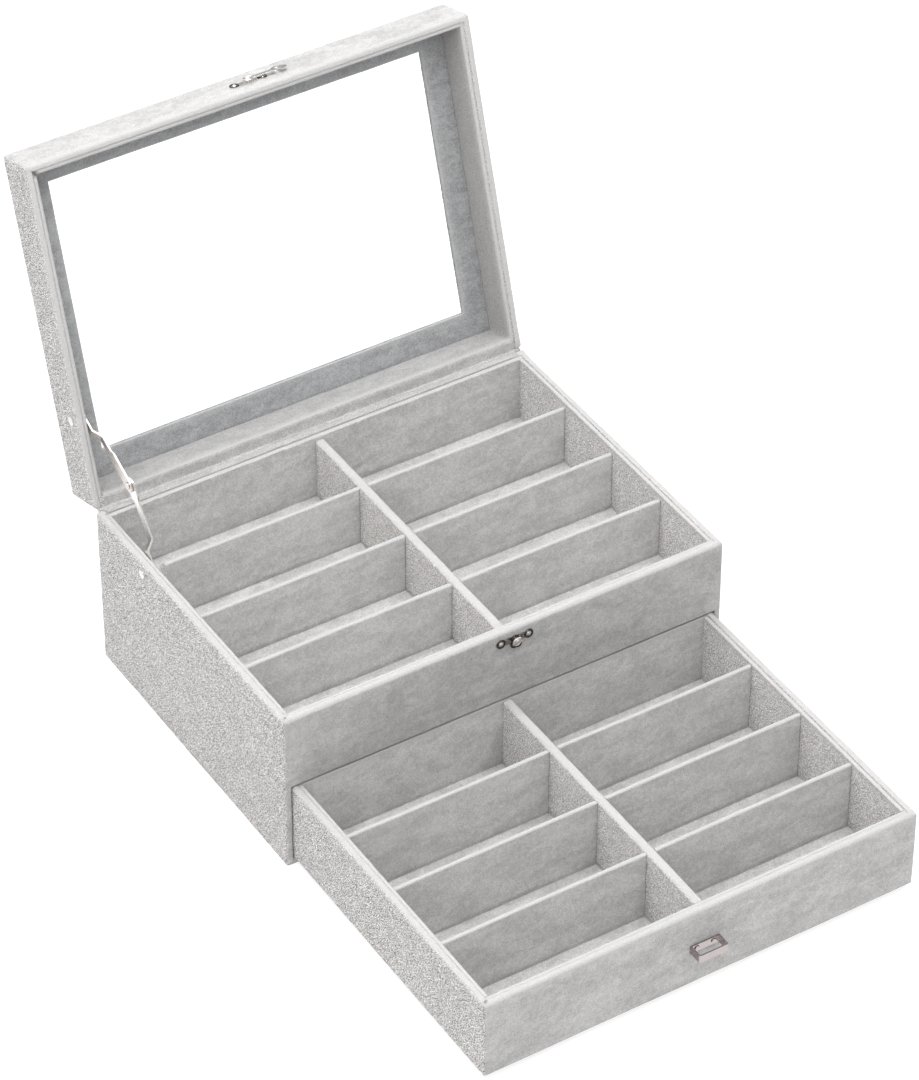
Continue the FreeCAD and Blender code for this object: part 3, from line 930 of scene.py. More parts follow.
@dataclass
class WrappedBand:
    """Boards joined into a rectangle and wrapped in one cloth: a cross-section carried round a rectangle.

    Attributes:
        low: Lowest corner of the outside, in metres.
        high: Highest corner of the outside, in metres.
        section: The closed cross-section, as corners.
        corner: Outer corner radius in millimetres.
        rim: Where the exposed rim is.
        painted_rim_width: Reach of the painted rim tone in millimetres.
        step: Grid spacing in millimetres.
        fold: Depth of the folded cloth's crease across the rim at each corner, in millimetres.
        wobble: Surface unevenness in millimetres.
        arc_steps: Grid steps round each upright corner.
        back_share: Share of the section's radii that is left along the back.
        tighten: Over what distance from the back they tighten, in millimetres.
    """

    low: Vector
    high: Vector
    section: list[Corner]
    corner: float = 2.0
    rim: Side = Side.TOP
    painted_rim_width: float = 4.5
    step: float = 6.0
    fold: float = 0.35
    wobble: float = 0.16
    arc_steps: int = 6
    back_share: float = 1.0
    tighten: float = 12.0

    def rounded_run(self, share: float) -> list[tuple[float, float]]:
        """The cross-section's corners, each rounded by a share of its own radius.

        Args:
            share: The share, 0 to 1.

        Returns:
            Inset and height of each point, in metres.
        """
        run: list[tuple[float, float]] = []
        count = len(self.section)
        for index, here in enumerate(self.section):
            before, after = self.section[index - 1], self.section[(index + 1) % count]
            spot = Vector((here.inset, here.height))
            to_before = (Vector((before.inset, before.height)) - spot).normalized()
            to_after = (Vector((after.inset, after.height)) - spot).normalized()
            radius = here.radius * share * MM
            if radius:
                centre = spot + (to_before + to_after) * radius
                for n in range(5):
                    angle = math.radians(22.5 * n)
                    edge = centre - to_after * radius * math.cos(angle) - to_before * radius * math.sin(angle)
                    run.append((edge.x, edge.y))
            else:
                run.append((spot.x, spot.y))
        return run

    def section_points(self) -> list[tuple[float, float, float, float]]:
        """The cross-section as a closed run of points.

        Returns:
            Inset and height of each point, then the same with the tight corners it has along the back.
        """
        soft, tight = self.rounded_run(1.0), self.rounded_run(self.back_share)
        filled: list[tuple[float, float, float, float]] = []
        for index, (start, tight_start) in enumerate(zip(soft, tight)):
            end, tight_end = soft[(index + 1) % len(soft)], tight[(index + 1) % len(soft)]
            pieces = max(1, round(math.dist(start, end) / (self.step * MM)))
            for n in range(pieces):
                share = n / pieces
                filled.append((*Vector(start).lerp(end, share), *Vector(tight_start).lerp(tight_end, share)))
        return filled

    def columns(self, low: float, high: float, margin: float) -> list[float]:
        """Grid places along one side.

        Args:
            low: Where the side starts, in metres.
            high: Where it ends, in metres.
            margin: Distance of the first and last place from the ends, in metres.

        Returns:
            The places, in metres.
        """
        start, end = low + margin, high - margin
        count = max(1, round((end - start) / (self.step * MM)))
        return [start + (end - start) * n / count for n in range(count + 1)]

    def path(self, inset: float, margin: float) -> list[tuple[float, float, bool]]:
        """The way round at a distance in from the outer face.

        Args:
            inset: Distance in from the outer face, in metres.
            margin: Distance of the first grid place from each corner, in metres.

        Returns:
            Points round the rectangle, each with whether it is the middle of a corner.
        """
        radius = max(self.corner * MM - inset, 0.0)
        x0, x1 = self.low.x + inset, self.high.x - inset
        y0, y1 = self.low.y + inset, self.high.y - inset
        across = self.columns(self.low.x, self.high.x, margin)
        along = self.columns(self.low.y, self.high.y, margin)

        def held(values: list[float], low: float, high: float) -> list[float]:
            """The grid places kept within this inset's straight run, with its two ends."""
            return [low] + [min(max(v, low), high) for v in values] + [high]

        front = [(x, y0, False) for x in held(across, x0 + radius, x1 - radius)]
        right = [(x1, y, False) for y in held(along, y0 + radius, y1 - radius)]
        back = [(x, y1, False) for x in reversed(held(across, x0 + radius, x1 - radius))]
        left = [(x0, y, False) for y in reversed(held(along, y0 + radius, y1 - radius))]
        centres = [
            (x1 - radius, y0 + radius, -90),
            (x1 - radius, y1 - radius, 0),
            (x0 + radius, y1 - radius, 90),
            (x0 + radius, y0 + radius, 180),
        ]
        points: list[tuple[float, float, bool]] = []
        for side, (cx, cy, start) in zip((front, right, back, left), centres):
            points += side
            for n in range(1, self.arc_steps):
                angle = math.radians(start + 90 * n / self.arc_steps)
                x, y = cx + radius * math.cos(angle), cy + radius * math.sin(angle)
                points.append((x, y, 2 * n == self.arc_steps))
        return points

    def grid(self, margin: float) -> tuple[bmesh.types.BMesh, list[list[bmesh.types.BMVert]]]:
        """Lay out the vertices: one row for each point of the section.

        Args:
            margin: Distance of the first grid place from each corner, in metres.

        Returns:
            The mesh and the rows.
        """
        bm = bmesh.new()
        rows = []
        edge = self.high.z if self.rim is Side.TOP else self.low.z
        for inset, height, tight_inset, tight_height in self.section_points():
            near = fade(abs(height - edge), 1.2 * MM)
            drop = self.fold * MM * near * self.rim.value
            row = []
            paths = zip(self.path(inset, margin), self.path(tight_inset, margin))
            for (x, y, mitre), (tight_x, tight_y, _) in paths:
                share = min(1.0, fade(self.high.y - y, self.tighten * MM))
                point = Vector((x, y, height)).lerp((tight_x, tight_y, tight_height), share * share)
                point.z -= drop if mitre else 0.0
                row.append(bm.verts.new(point))
            rows.append(row)
        return bm, rows

    def build(self, name: str, seed: float, margin: float = 6.0 * MM) -> bpy.types.Object:
        """Build the whole band.

        Args:
            name: The piece's name.
            seed: Shifts the unevenness.
            margin: Distance of the first grid place from each corner, in metres.

        Returns:
            The piece, shaped with the box shut.
        """
        bm, rows = self.grid(margin)
        for index, row in enumerate(rows):
            above = rows[(index + 1) % len(rows)]
            for n in range(len(row)):
                m = (n + 1) % len(row)
                bm.faces.new((row[n], row[m], above[m], above[n]))
        return self.finish(name, bm, seed)

    def finish(self, name: str, bm: bmesh.types.BMesh, seed: float) -> bpy.types.Object:
        """Weld, shade, mark the rim and roughen.

        Args:
            name: The piece's name.
            bm: The mesh, which is freed.
            seed: Shifts the unevenness.

        Returns:
            The piece.
        """
        bmesh.ops.remove_doubles(bm, verts=bm.verts, dist=WELD)
        piece = finish_mesh(name, bm)
        edge = self.high.z if self.rim is Side.TOP else self.low.z
        paint_rim_light(piece, self.rim, edge, self.painted_rim_width)
        roughen(piece, self.wobble, 30.0, seed)
        return piece


@dataclass
class OpenFrontBand(WrappedBand):
    """A wrapped band with a bay cut out of its front, between the side boards and under a rail.

    Attributes:
        bay_top: Height of the bay, in metres.
        board: Board thickness, in metres.
        soften: Rounding of the bay's edges, in millimetres.
    """

    bay_top: float = 0.0
    board: float = 0.0
    soften: float = 1.0

    def build(self, name: str, seed: float, margin: float = 0.0) -> bpy.types.Object:
        """Build the band and leave its bay open.

        Args:
            name: The piece's name.
            seed: Shifts the unevenness.
            margin: Not used: the grid starts at the boards' inner faces.

        Returns:
            The piece, shaped with the box shut.
        """
        bm, rows = self.grid(self.board)
        points = self.section_points()
        count = len(self.columns(self.low.x, self.high.x, self.board))
        first, last = 1, count
        low = [height <= self.bay_top + 1e-6 for _, height, _, _ in points]
        for index, row in enumerate(rows):
            after = (index + 1) % len(rows)
            for n in range(len(row)):
                m = (n + 1) % len(row)
                if first <= n < last and low[index] and low[after]:
                    continue
                bm.faces.new((row[n], row[m], rows[after][m], rows[after][n]))
        outer = next(i for i, flag in enumerate(low) if flag and not low[(i + 1) % len(low)])
        inner = next(i for i, flag in enumerate(low) if flag and not low[i - 1])
        lower = []
        index = inner
        while index != (outer + 1) % len(rows):
            lower.append(index)
            index = (index + 1) % len(rows)
        for n in (first, last):
            bm.faces.new([rows[i][n] for i in lower])
        for n in range(first, last):
            bm.faces.new((rows[outer][n], rows[inner][n], rows[inner][n + 1], rows[outer][n + 1]))
        bmesh.ops.remove_doubles(bm, verts=bm.verts, dist=WELD)
        bmesh.ops.recalc_face_normals(bm, faces=bm.faces)
        edges = [edge for edge in bm.edges if self.on_bay_edge(edge)]
        bmesh.ops.bevel(bm, geom=edges, offset=self.soften * MM, segments=3, affect="EDGES", profile=0.5)
        return self.finish(name, bm, seed)

    def on_bay_edge(self, edge: bmesh.types.BMEdge) -> bool:
        """Whether an edge lies on the bay's outline in the front face.

        Args:
            edge: The edge.

        Returns:
            True if it does.
        """
        ends = [vertex.co for vertex in edge.verts]
        if any(abs(p.y - self.low.y) > ON_PLANE for p in ends):
            return False
        x0, x1 = self.low.x + self.board, self.high.x - self.board
        under = all(p.z < self.bay_top + ON_PLANE for p in ends)
        upright = under and any(all(abs(p.x - x) < ON_PLANE for p in ends) for x in (x0, x1))
        level = all(abs(p.z - self.bay_top) < ON_PLANE and x0 - ON_PLANE < p.x < x1 + ON_PLANE for p in ends)
        return upright or level


def eased_copy(name: str, source: bpy.types.Object, bevel: float) -> bpy.types.Object:
    """A metal part with its sharp edges eased, as stamping and tumbling leave them.

    Args:
        name: The new piece's name.
        source: The node whose shape it takes.
        bevel: Width of the eased edge in millimetres.

    Returns:
        The piece, where the node is.
    """
    bm = bmesh.new()
    bm.from_mesh(source.data)
    bmesh.ops.remove_doubles(bm, verts=bm.verts, dist=WELD)
    bmesh.ops.dissolve_limit(bm, angle_limit=math.radians(1.0), verts=bm.verts, edges=bm.edges)
    piece = finish_mesh(name, bm)
    piece.modifiers.clear()
    eased = piece.modifiers.new("Eased edges", "BEVEL")
    eased.width = bevel * MM
    eased.segments = 3
    eased.limit_method = "ANGLE"
    eased.angle_limit = math.radians(32)
    eased.use_clamp_overlap = True
    evened = piece.modifiers.new("Even normals", "WEIGHTED_NORMAL")
    evened.keep_sharp = True
    return piece


def islands(source: bpy.types.Object) -> list[tuple[Vector, Vector]]:
    """The boxes of a node's separate solids, from left to right.

    Args:
        source: The node.

    Returns:
        Lowest and highest corner of each solid.
    """
    bm = bmesh.new()
    bm.from_mesh(source.data)
    bmesh.ops.remove_doubles(bm, verts=bm.verts, dist=WELD)
    left = set(bm.verts)
    boxes = []
    while left:
        stack = [left.pop()]
        points = []
        while stack:
            vertex = stack.pop()
            points.append(vertex.co.copy())
            for edge in vertex.link_edges:
                other = edge.other_vert(vertex)
                if other in left:
                    left.remove(other)
                    stack.append(other)
        boxes.append(box_round(points))
    bm.free()
    return sorted(boxes, key=lambda box: (round(box[0].x, 5), box[0].z))


# ---------------------------------------------------------------------------------------------------
# Sub-assemblies
# ---------------------------------------------------------------------------------------------------


@dataclass
class CaseShell:
    """The case: one velvet-wrapped band of boards over a bottom board and the tray's shelf.

    Attributes:
        station: Where the case is.
        lower_edge: Rounding along the bottom, in millimetres.
        rim_outer: Rounding of the rim's outer edge, in millimetres.
        rim_inner: Rounding of the rim's inner edge, in millimetres.
    """

    station: Station
    lower_edge: float = 0.9
    rim_outer: float = 3.0
    rim_inner: float = 1.1

    def build(self) -> None:
        """Build the shell's pieces."""
        left = self.station.shut_box("case_left_side")
        right = self.station.shut_box("case_right_side")
        rail = self.station.shut_box("case_front_rail")
        board = left[1].x - left[0].x
        low, high = left[0], right[1]
        section = [
            Corner(0.0, low.z, self.lower_edge),
            Corner(0.0, rail[0].z),
            Corner(0.0, high.z, self.rim_outer),
            Corner(board, high.z, self.rim_inner),
            Corner(board, rail[0].z),
            Corner(board, low.z),
        ]
        band = OpenFrontBand(low, high, section, corner=2.0, bay_top=rail[0].z, board=board, back_share=0.35)
        piece = band.build("case_velvet_wrap", 1.0)
        back = self.station.shut_box("case_back_panel")
        tuck_back_rim(piece, back, high.y - board, Side.TOP, high.z)
        boards = ("case_left_side", "case_right_side", "case_front_rail", "case_back_panel")
        self.station.settle(piece, "Outer velvet", Slot.BOARD, *boards)
        for node, seed in (("case_bottom_board", 2.0), ("tray_shelf", 3.0)):
            flat = SoftBlock(*self.station.shut_box(node), (0, 0, 0.9, 0, 0.6, 0.6), step=9, rim=Side.NONE)
            piece = flat.build(f"{node}_velvet", seed)
            self.station.settle(piece, "Outer velvet", Slot.BOARD, node)


@dataclass
class Compartments:
    """Liners, floor pad and dividers of a tray or drawer.

    Attributes:
        station: Where they are.
        prefix: The start of the nodes' names.
        seed: Shifts the unevenness.
        liner_lift: How far the cloth's fold stands above the liners' cards, in millimetres.
    """

    station: Station
    prefix: str
    seed: float
    liner_lift: float = 0.5

    def build(self) -> None:
        """Build all the pieces."""
        self.floor_pad()
        for number, side in enumerate(("left", "right", "front", "back")):
            self.liner(side, self.seed + number)
        self.centre_divider()
        for side in ("left", "right"):
            for row in (1, 2, 3):
                self.cross_divider(side, row)

    def floor_pad(self) -> None:
        """The thin velvet-covered foam on the floor."""
        node = f"{self.prefix}_floor_pad"
        pad = SoftBlock(*self.station.shut_box(node), (0.6,) * 6, step=7, rim=Side.NONE, wobble=0.2)
        piece = pad.build(f"{node}_velvet", self.seed + 9)
        self.station.settle(piece, "Inner velvet painted light", Slot.LINING, node)

    def liner(self, side: str, seed: float) -> None:
        """A velvet-covered card standing against one wall.

        Args:
            side: Which wall.
            seed: Shifts the unevenness.
        """
        node = f"{self.prefix}_liner_{side}"
        along_y = side in ("left", "right")
        low, high = self.station.shut_box(node)
        high.z += self.liner_lift * MM
        outside, inside = 0.9, 1.3
        near, far = (outside, inside) if side in ("left", "front") else (inside, outside)
        rounding = (near, far, 0, 0, 0, 1.0) if along_y else (0, 0, near, far, 0, 1.0)
        tucked = self.prefix == "tray" and side == "back"
        card = SoftBlock(low, high, rounding, step=5, painted_rim_width=0.6 if tucked else 3.0)
        piece = card.build(f"{node}_velvet", seed)
        self.station.settle(piece, "Inner velvet painted light", Slot.LINING, node)

    def centre_divider(self) -> None:
        """The thick divider from front to back."""
        node = f"{self.prefix}_centre_divider"
        low, high = self.station.shut_box(node)
        card = SoftBlock(low, high, (2.4, 2.4, 0.7, 0.7, 0, 2.0), step=5, painted_rim_width=2.2, wobble=0.16)
        piece = card.build(f"{node}_velvet", self.seed + 5)
        self.station.settle(piece, "Divider velvet painted light", Slot.LINING, node)

    def cross_divider(self, side: str, row: int) -> None:
        """A thin divider between two slots.

        Args:
            side: Which half it is in.
            row: Its number from the front.
        """
        node = f"{self.prefix}_divider_{side}_{row}"
        low, high = self.station.shut_box(node)
        card = SoftBlock(low, high, (0.7, 0.7, 1.65, 1.65, 0, 1.5), step=5, painted_rim_width=1.8, wobble=0.14)
        piece = card.build(f"{node}_velvet", self.seed + 3.1 * row + (0.7 if side == "left" else 0))
        self.bow(piece, low, high, 0.5 * math.sin(4.0 * row + self.seed))
        notch = self.notch(node)
        if notch:
            self.cut_notch(piece, *notch)
        self.station.settle(piece, "Divider velvet painted light", Slot.LINING, node)

    def bow(self, piece: bpy.types.Object, low: Vector, high: Vector, amount: float) -> None:
        """Bow a divider slightly along its length, most at the top.

        Args:
            piece: The divider.
            low: Its lowest corner, in metres.
            high: Its highest corner, in metres.
            amount: How far it bows, in millimetres.
        """
        for vertex in piece.data.vertices:
            along = (vertex.co.x - low.x) / (high.x - low.x)
            up = (vertex.co.z - low.z) / (high.z - low.z)
            vertex.co.y += amount * MM * math.sin(math.pi * along) * up
        piece.data.update()

    def notch(self, node: str) -> tuple[float, ...]:
        """Where a divider's top is cut away at the wall.

        Args:
            node: The divider's node.

        Returns:
            The notch's inner X and its floor height, or nothing if the top runs through.
        """
        low, high = self.station.shut_box(node)
        points = [vertex.co for vertex in self.station.nodes[node].data.vertices]
        at_wall = max(p.z for p in points if p.x < low.x + 0.1 * MM)
        if at_wall > high.z - 1 * MM:
            return ()
        reach = min(p.x for p in points if p.z > high.z - 0.1 * MM)
        return reach, at_wall

    def cut_notch(self, piece: bpy.types.Object, reach: float, floor: float) -> None:
        """Cut the corner that leaves room for the folding stay.

        Args:
            piece: The divider.
            reach: X where the cut starts, in metres.
            floor: Height of the cut's floor, in metres.
        """
        bm = bmesh.new()
        bm.from_mesh(piece.data)
        for where, direction in (((reach, 0, 0), (1, 0, 0)), ((0, 0, floor), (0, 0, 1))):
            everything = list(bm.verts) + list(bm.edges) + list(bm.faces)
            bmesh.ops.bisect_plane(bm, geom=everything, plane_co=where, plane_no=direction, dist=1e-6)
        gone = [f for f in bm.faces if f.calc_center_median().x < reach and f.calc_center_median().z > floor]
        bmesh.ops.delete(bm, geom=gone, context="FACES")
        border = [edge for edge in bm.edges if edge.is_boundary]
        bmesh.ops.holes_fill(bm, edges=border, sides=0)
        bm.to_mesh(piece.data)
        bm.free()
        piece.data.update()


@dataclass
class Drawer:
    """The drawer's wrapped walls and bottom, its compartments and its pull.

    Attributes:
        station: Where the drawer is.
    """

    station: Station

    def build(self) -> None:
        """Build the drawer."""
        left = self.station.shut_box("drawer_left_side")
        right = self.station.shut_box("drawer_right_side")
        front = self.station.shut_box("drawer_front_panel")
        board = left[1].x - left[0].x
        low = Vector((left[0].x, front[0].y, left[0].z))
        section = [
            Corner(0.0, low.z, 0.8),
            Corner(0.0, right[1].z, 2.4),
            Corner(board, right[1].z, 1.1),
            Corner(board, low.z),
        ]
        band = WrappedBand(low, right[1], section, corner=1.8)
        piece = band.build("drawer_velvet_wrap", 11.0)
        boards = ("drawer_left_side", "drawer_right_side", "drawer_front_panel", "drawer_back")
        self.station.settle(piece, "Outer velvet", Slot.BOARD, *boards)
        box = self.station.shut_box("drawer_bottom")
        bottom = SoftBlock(*box, (0, 0, 0, 0, 0.5, 0.5), step=9, rim=Side.NONE)
        piece = bottom.build("drawer_bottom_velvet", 12.0)
        self.station.settle(piece, "Outer velvet", Slot.BOARD, "drawer_bottom")
        Compartments(self.station, "drawer", 30.0).build()
        self.pull()

    def pull(self) -> None:
        """The strip pull and its two rivets."""
        for node, bevel in (("drawer_pull", 0.22), ("drawer_pull_rivets", 0.25)):
            piece = eased_copy(f"{node}_plated", self.station.nodes[node], bevel)
            self.station.give(piece, "Pull plating", Slot.PULL, node)


@dataclass
class Lid:
    """The lid: a wrapped band that turns in to the window, its retainer, liner and pane.

    Attributes:
        station: Where the lid is.
        window_ease: How far the top frame's cut edge stands back from the card's, in millimetres.
        lip: Width of the painted highlight round the window's edge, in millimetres.
    """

    station: Station
    window_ease: float = 2.4
    lip: float = 1.6

    def build(self) -> None:
        """Build the lid's pieces."""
        left = self.station.shut_box("lid_left_wall")
        right = self.station.shut_box("lid_right_wall")
        top = self.station.shut_box("lid_top_frame")
        pane = self.station.shut_box("lid_window_pane")
        board = left[1].x - left[0].x
        low = Vector(left[0])
        high = Vector((right[1].x, right[1].y, top[1].z))
        window = self.opening("lid_top_frame", high) - self.window_ease * MM
        section = [
            Corner(0.0, low.z, 2.2),
            Corner(0.0, high.z, 2.2),
            Corner(window, high.z, 0.8),
            Corner(window, pane[1].z, 0.5),
            Corner(board, pane[1].z),
            Corner(board, low.z, 1.1),
        ]
        band = WrappedBand(low, high, section, corner=2.4, rim=Side.BOTTOM, back_share=0.35)
        piece = band.build("lid_velvet_wrap", 21.0)
        back = self.station.shut_box("lid_back_wall")
        tuck_back_rim(piece, back, back[1].y - board, Side.BOTTOM, low.z)
        boards = ("lid_front_wall", "lid_back_wall", "lid_left_wall", "lid_right_wall", "lid_top_frame")
        self.station.settle(piece, "Outer velvet", Slot.BOARD, *boards)
        self.retainer()
        self.liner()
        self.station.wardrobe.dress(self.station.nodes["lid_window_pane"], "Window sheet")

    def opening(self, node: str, high: Vector) -> float:
        """How far in from the outer face a node's window starts.

        Args:
            node: The node.
            high: The outer box's highest corner, in metres.

        Returns:
            The distance in metres.
        """
        return high.x - min(p.x for p in self.station.shut_points(node) if p.x > 0)

    def retainer(self) -> None:
        """The velvet-covered card frame that holds the pane."""
        low, high = self.station.shut_box("lid_pane_retainer")
        pane = self.station.shut_box("lid_window_pane")
        inset = self.opening("lid_pane_retainer", high)
        section = [
            Corner(0.0, low.z),
            Corner(0.0, pane[0].z),
            Corner(inset, pane[0].z, 0.3),
            Corner(inset, low.z, 0.9),
        ]
        under_pane = Vector((high.x, high.y, pane[0].z))
        band = WrappedBand(low, under_pane, section, corner=0.0, rim=Side.NONE, step=5)
        piece = band.build("lid_pane_retainer_velvet", 22.0)
        # Painted highlight: the rim mask lightens the retainer's edge round the window, standing in for light
        # on the lip.
        for vertex, rim in zip(piece.data.vertices, piece.data.attributes["rim"].data):
            depth = min(abs(low.x) - abs(vertex.co.x), abs(low.y) - abs(vertex.co.y))
            rim.value = fade(inset - depth, self.lip * MM)
        self.station.settle(piece, "Frame velvet painted shade", Slot.LINING, "lid_pane_retainer")

    def liner(self) -> None:
        """The velvet-covered card band inside the lid's walls."""
        low, high = self.station.shut_box("lid_liner")
        tray = self.station.shut_box("tray_liner_left")
        thickness = tray[1].x - tray[0].x
        section = [
            Corner(0.0, low.z - 0.5 * MM, 0.6),
            Corner(0.0, high.z),
            Corner(thickness, high.z, 0.5),
            Corner(thickness, low.z - 0.5 * MM, 1.4),
        ]
        band = WrappedBand(low, high, section, corner=0.0, rim=Side.BOTTOM, painted_rim_width=3.0, step=5)
        piece = band.build("lid_liner_velvet", 23.0)
        self.station.settle(piece, "Lid lining velvet painted shade", Slot.LINING, "lid_liner")


@dataclass
class HingeCloth:
    """The two cloths that join the lid to the case: one inside, one over the back.

    Attributes:
        case: The case's station.
        lid: The lid's station.
        thickness: Cloth thickness in millimetres.
        ripple: Height of the ripples along it, in millimetres.
        overlap: How far the outer cloth reaches over each side board, in millimetres.
    """

    case: Station
    lid: Station
    thickness: float = 0.6
    ripple: float = 0.25
    overlap: float = 2.8

    def build(self) -> None:
        """Build both cloths."""
        self.inner()
        self.outer()

    def strip(self, name: str, line: list[Vector], half_width: float) -> tuple[bpy.types.Object, float]:
        """A strip of cloth that follows a line in the YZ plane.

        Args:
            name: The piece's name.
            line: The line, in metres.
            half_width: Half the strip's width along X, in metres.

        Returns:
            The piece and the line's length.
        """
        bm = bmesh.new()
        columns = round(2 * half_width / (5 * MM))
        lengths = [0.0]
        for start, end in zip(line, line[1:]):
            lengths.append(lengths[-1] + (end - start).length)
        rows = []
        for point, length in zip(line, lengths):
            share = length / lengths[-1]
            loose = math.sin(math.pi * share) ** 2
            row = []
            for n in range(columns + 1):
                x = -half_width + 2 * half_width * n / columns
                wave = noise.noise(Vector((x / (22 * MM), share * 2.0, 5.0))) * self.ripple * loose * MM
                row.append(bm.verts.new((x, point.y + 0.6 * wave, point.z + wave)))
            rows.append(row)
        for near, far in zip(rows, rows[1:]):
            for n in range(columns):
                bm.faces.new((near[n], near[n + 1], far[n + 1], far[n]))
        piece = finish_mesh(name, bm)
        piece.modifiers.clear()
        thick = piece.modifiers.new("Cloth thickness", "SOLIDIFY")
        thick.thickness = self.thickness * MM
        thick.offset = 0.0
        layer = piece.data.attributes.new("rim", "FLOAT", "POINT")
        layer.data.foreach_set("value", [0.0] * len(piece.data.vertices))
        return piece, lengths[-1]

    def inner(self) -> None:
        """The cloth seen inside, between the two back rims."""
        panel = self.case.shut_box("case_back_panel")
        wall = self.lid.shut_box("lid_back_wall")
        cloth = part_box("hinge_cloth")
        half = self.thickness * MM / 2
        front = cloth[0].y
        case_front = self.case.shut_box("tray_liner_back")[1].y + 0.3 * MM
        seam = panel[1].y - 0.8 * MM
        level = panel[1].z + half
        lifted = wall[0].z - half
        near = self.lid.to_rest @ Vector((0, seam, lifted))
        far = self.lid.to_rest @ Vector((0, front, lifted))
        line = [Vector((0, case_front + (seam - case_front) * n / 3, level)) for n in range(4)]
        across, up = near.y - seam, near.z - level
        radius = (across * across + up * up) / (2 * up)
        turn = math.atan2(across, radius - up)
        for n in range(1, 8):
            angle = turn * n / 8
            line.append(Vector((0, seam + radius * math.sin(angle), level + radius * (1 - math.cos(angle)))))
        line += [near.lerp(far, n / 3) for n in range(4)]
        ends = ((0, seam, level), tuple(near))
        self.fasten("hinge_cloth_velvet", line, cloth[1].x, "Hinge velvet", ends, "hinge_cloth")

    def outer(self) -> None:
        """The outer velvet's strip across the back, over the joint."""
        panel = self.case.shut_box("case_back_panel")
        wall = self.lid.shut_box("lid_back_wall")
        half = self.thickness * MM / 2
        face = panel[1].y + half
        reach = 7.0 * MM
        low = Vector((0, face, panel[1].z - reach))
        bend = Vector((0, face, panel[1].z))
        away = self.lid.to_rest @ Vector((0, face, wall[0].z))
        high = self.lid.to_rest @ Vector((0, face, wall[0].z + reach))
        line = [low.lerp(bend, n / 3) for n in range(3)]
        for n in range(9):
            share = n / 8
            first = bend.lerp(away, share)
            corner = Vector((0, face, away.z))
            line.append((bend.lerp(corner, share)).lerp(corner.lerp(away, share), share) if n else first)
        line += [away.lerp(high, n / 3) for n in range(1, 4)]
        ends = (tuple(bend), tuple(away))
        self.fasten("case_back_hinge_cover", line, panel[1].x + self.overlap * MM, "Outer velvet", ends)

    def fasten(
        self, name: str, line: list[Vector], half_width: float, finish: str, ends: tuple, *stands_for: str
    ) -> None:
        """Make a cloth and leave it fixed where it lies between the case and the lid.

        Args:
            name: The piece's name.
            line: The line it follows, in metres.
            half_width: Half its width along X, in metres.
            finish: The name of its finish.
            ends: Not used.
            *stands_for: The CAD nodes it stands for.
        """
        piece, length = self.strip(name, line, half_width)
        self.case.wardrobe.dress(piece, finish)
        if stands_for:
            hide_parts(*stands_for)
        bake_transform(piece)
        LOG.info("%s: %.1f mm from edge to edge", piece.name, length / MM)


@dataclass
class FoldingStay:
    """The two arms of the stay and their rivets.

    Attributes:
        places: Stations by body name.
        edge: How far the rolled edges stand out from the plain strip, in millimetres.
        lower_edge: The same for the lower arm, which is stamped from a broader strip.
    """

    places: dict[str, Station]
    edge: float = 0.6
    lower_edge: float = 0.95

    def build(self) -> None:
        """Build the stay's pieces."""
        pieces = [
            ("stay_lower_arm", "stay_lower_arm", 0.18, "Latch plating", self.lower_edge),
            ("stay_upper_arm", "stay_upper_arm", 0.18, "Stay plating", self.edge),
            ("stay_knee_rivet_tail", "stay_lower_arm", 0.3, "Stay plating", 0.0),
            ("stay_knee_rivet_head", "stay_upper_arm", 0.3, "Stay plating", 0.0),
            ("stay_case_rivet", "case", 0.35, "Stay plating", 0.0),
            ("stay_lid_rivet", "lid", 0.35, "Stay plating", 0.0),
        ]
        for node, body, bevel, finish, edge in pieces:
            station = self.places[body]
            piece = eased_copy(f"{node}_plated", station.nodes[node], bevel)
            if edge:
                self.widen(piece, edge)
            station.give(piece, finish, Slot.LATCH, node)

    def widen(self, piece: bpy.types.Object, edge: float) -> None:
        """Give a stamped arm its rolled edges, which stand out all round in its own plane.

        Args:
            piece: The arm.
            edge: How far they stand out, in millimetres.
        """
        normals = [vertex.normal.copy() for vertex in piece.data.vertices]
        for vertex, normal in zip(piece.data.vertices, normals):
            outwards = Vector((0, normal.y, normal.z))
            if outwards.length > 0.2:
                vertex.co += outwards.normalized() * edge * MM
        piece.data.update()


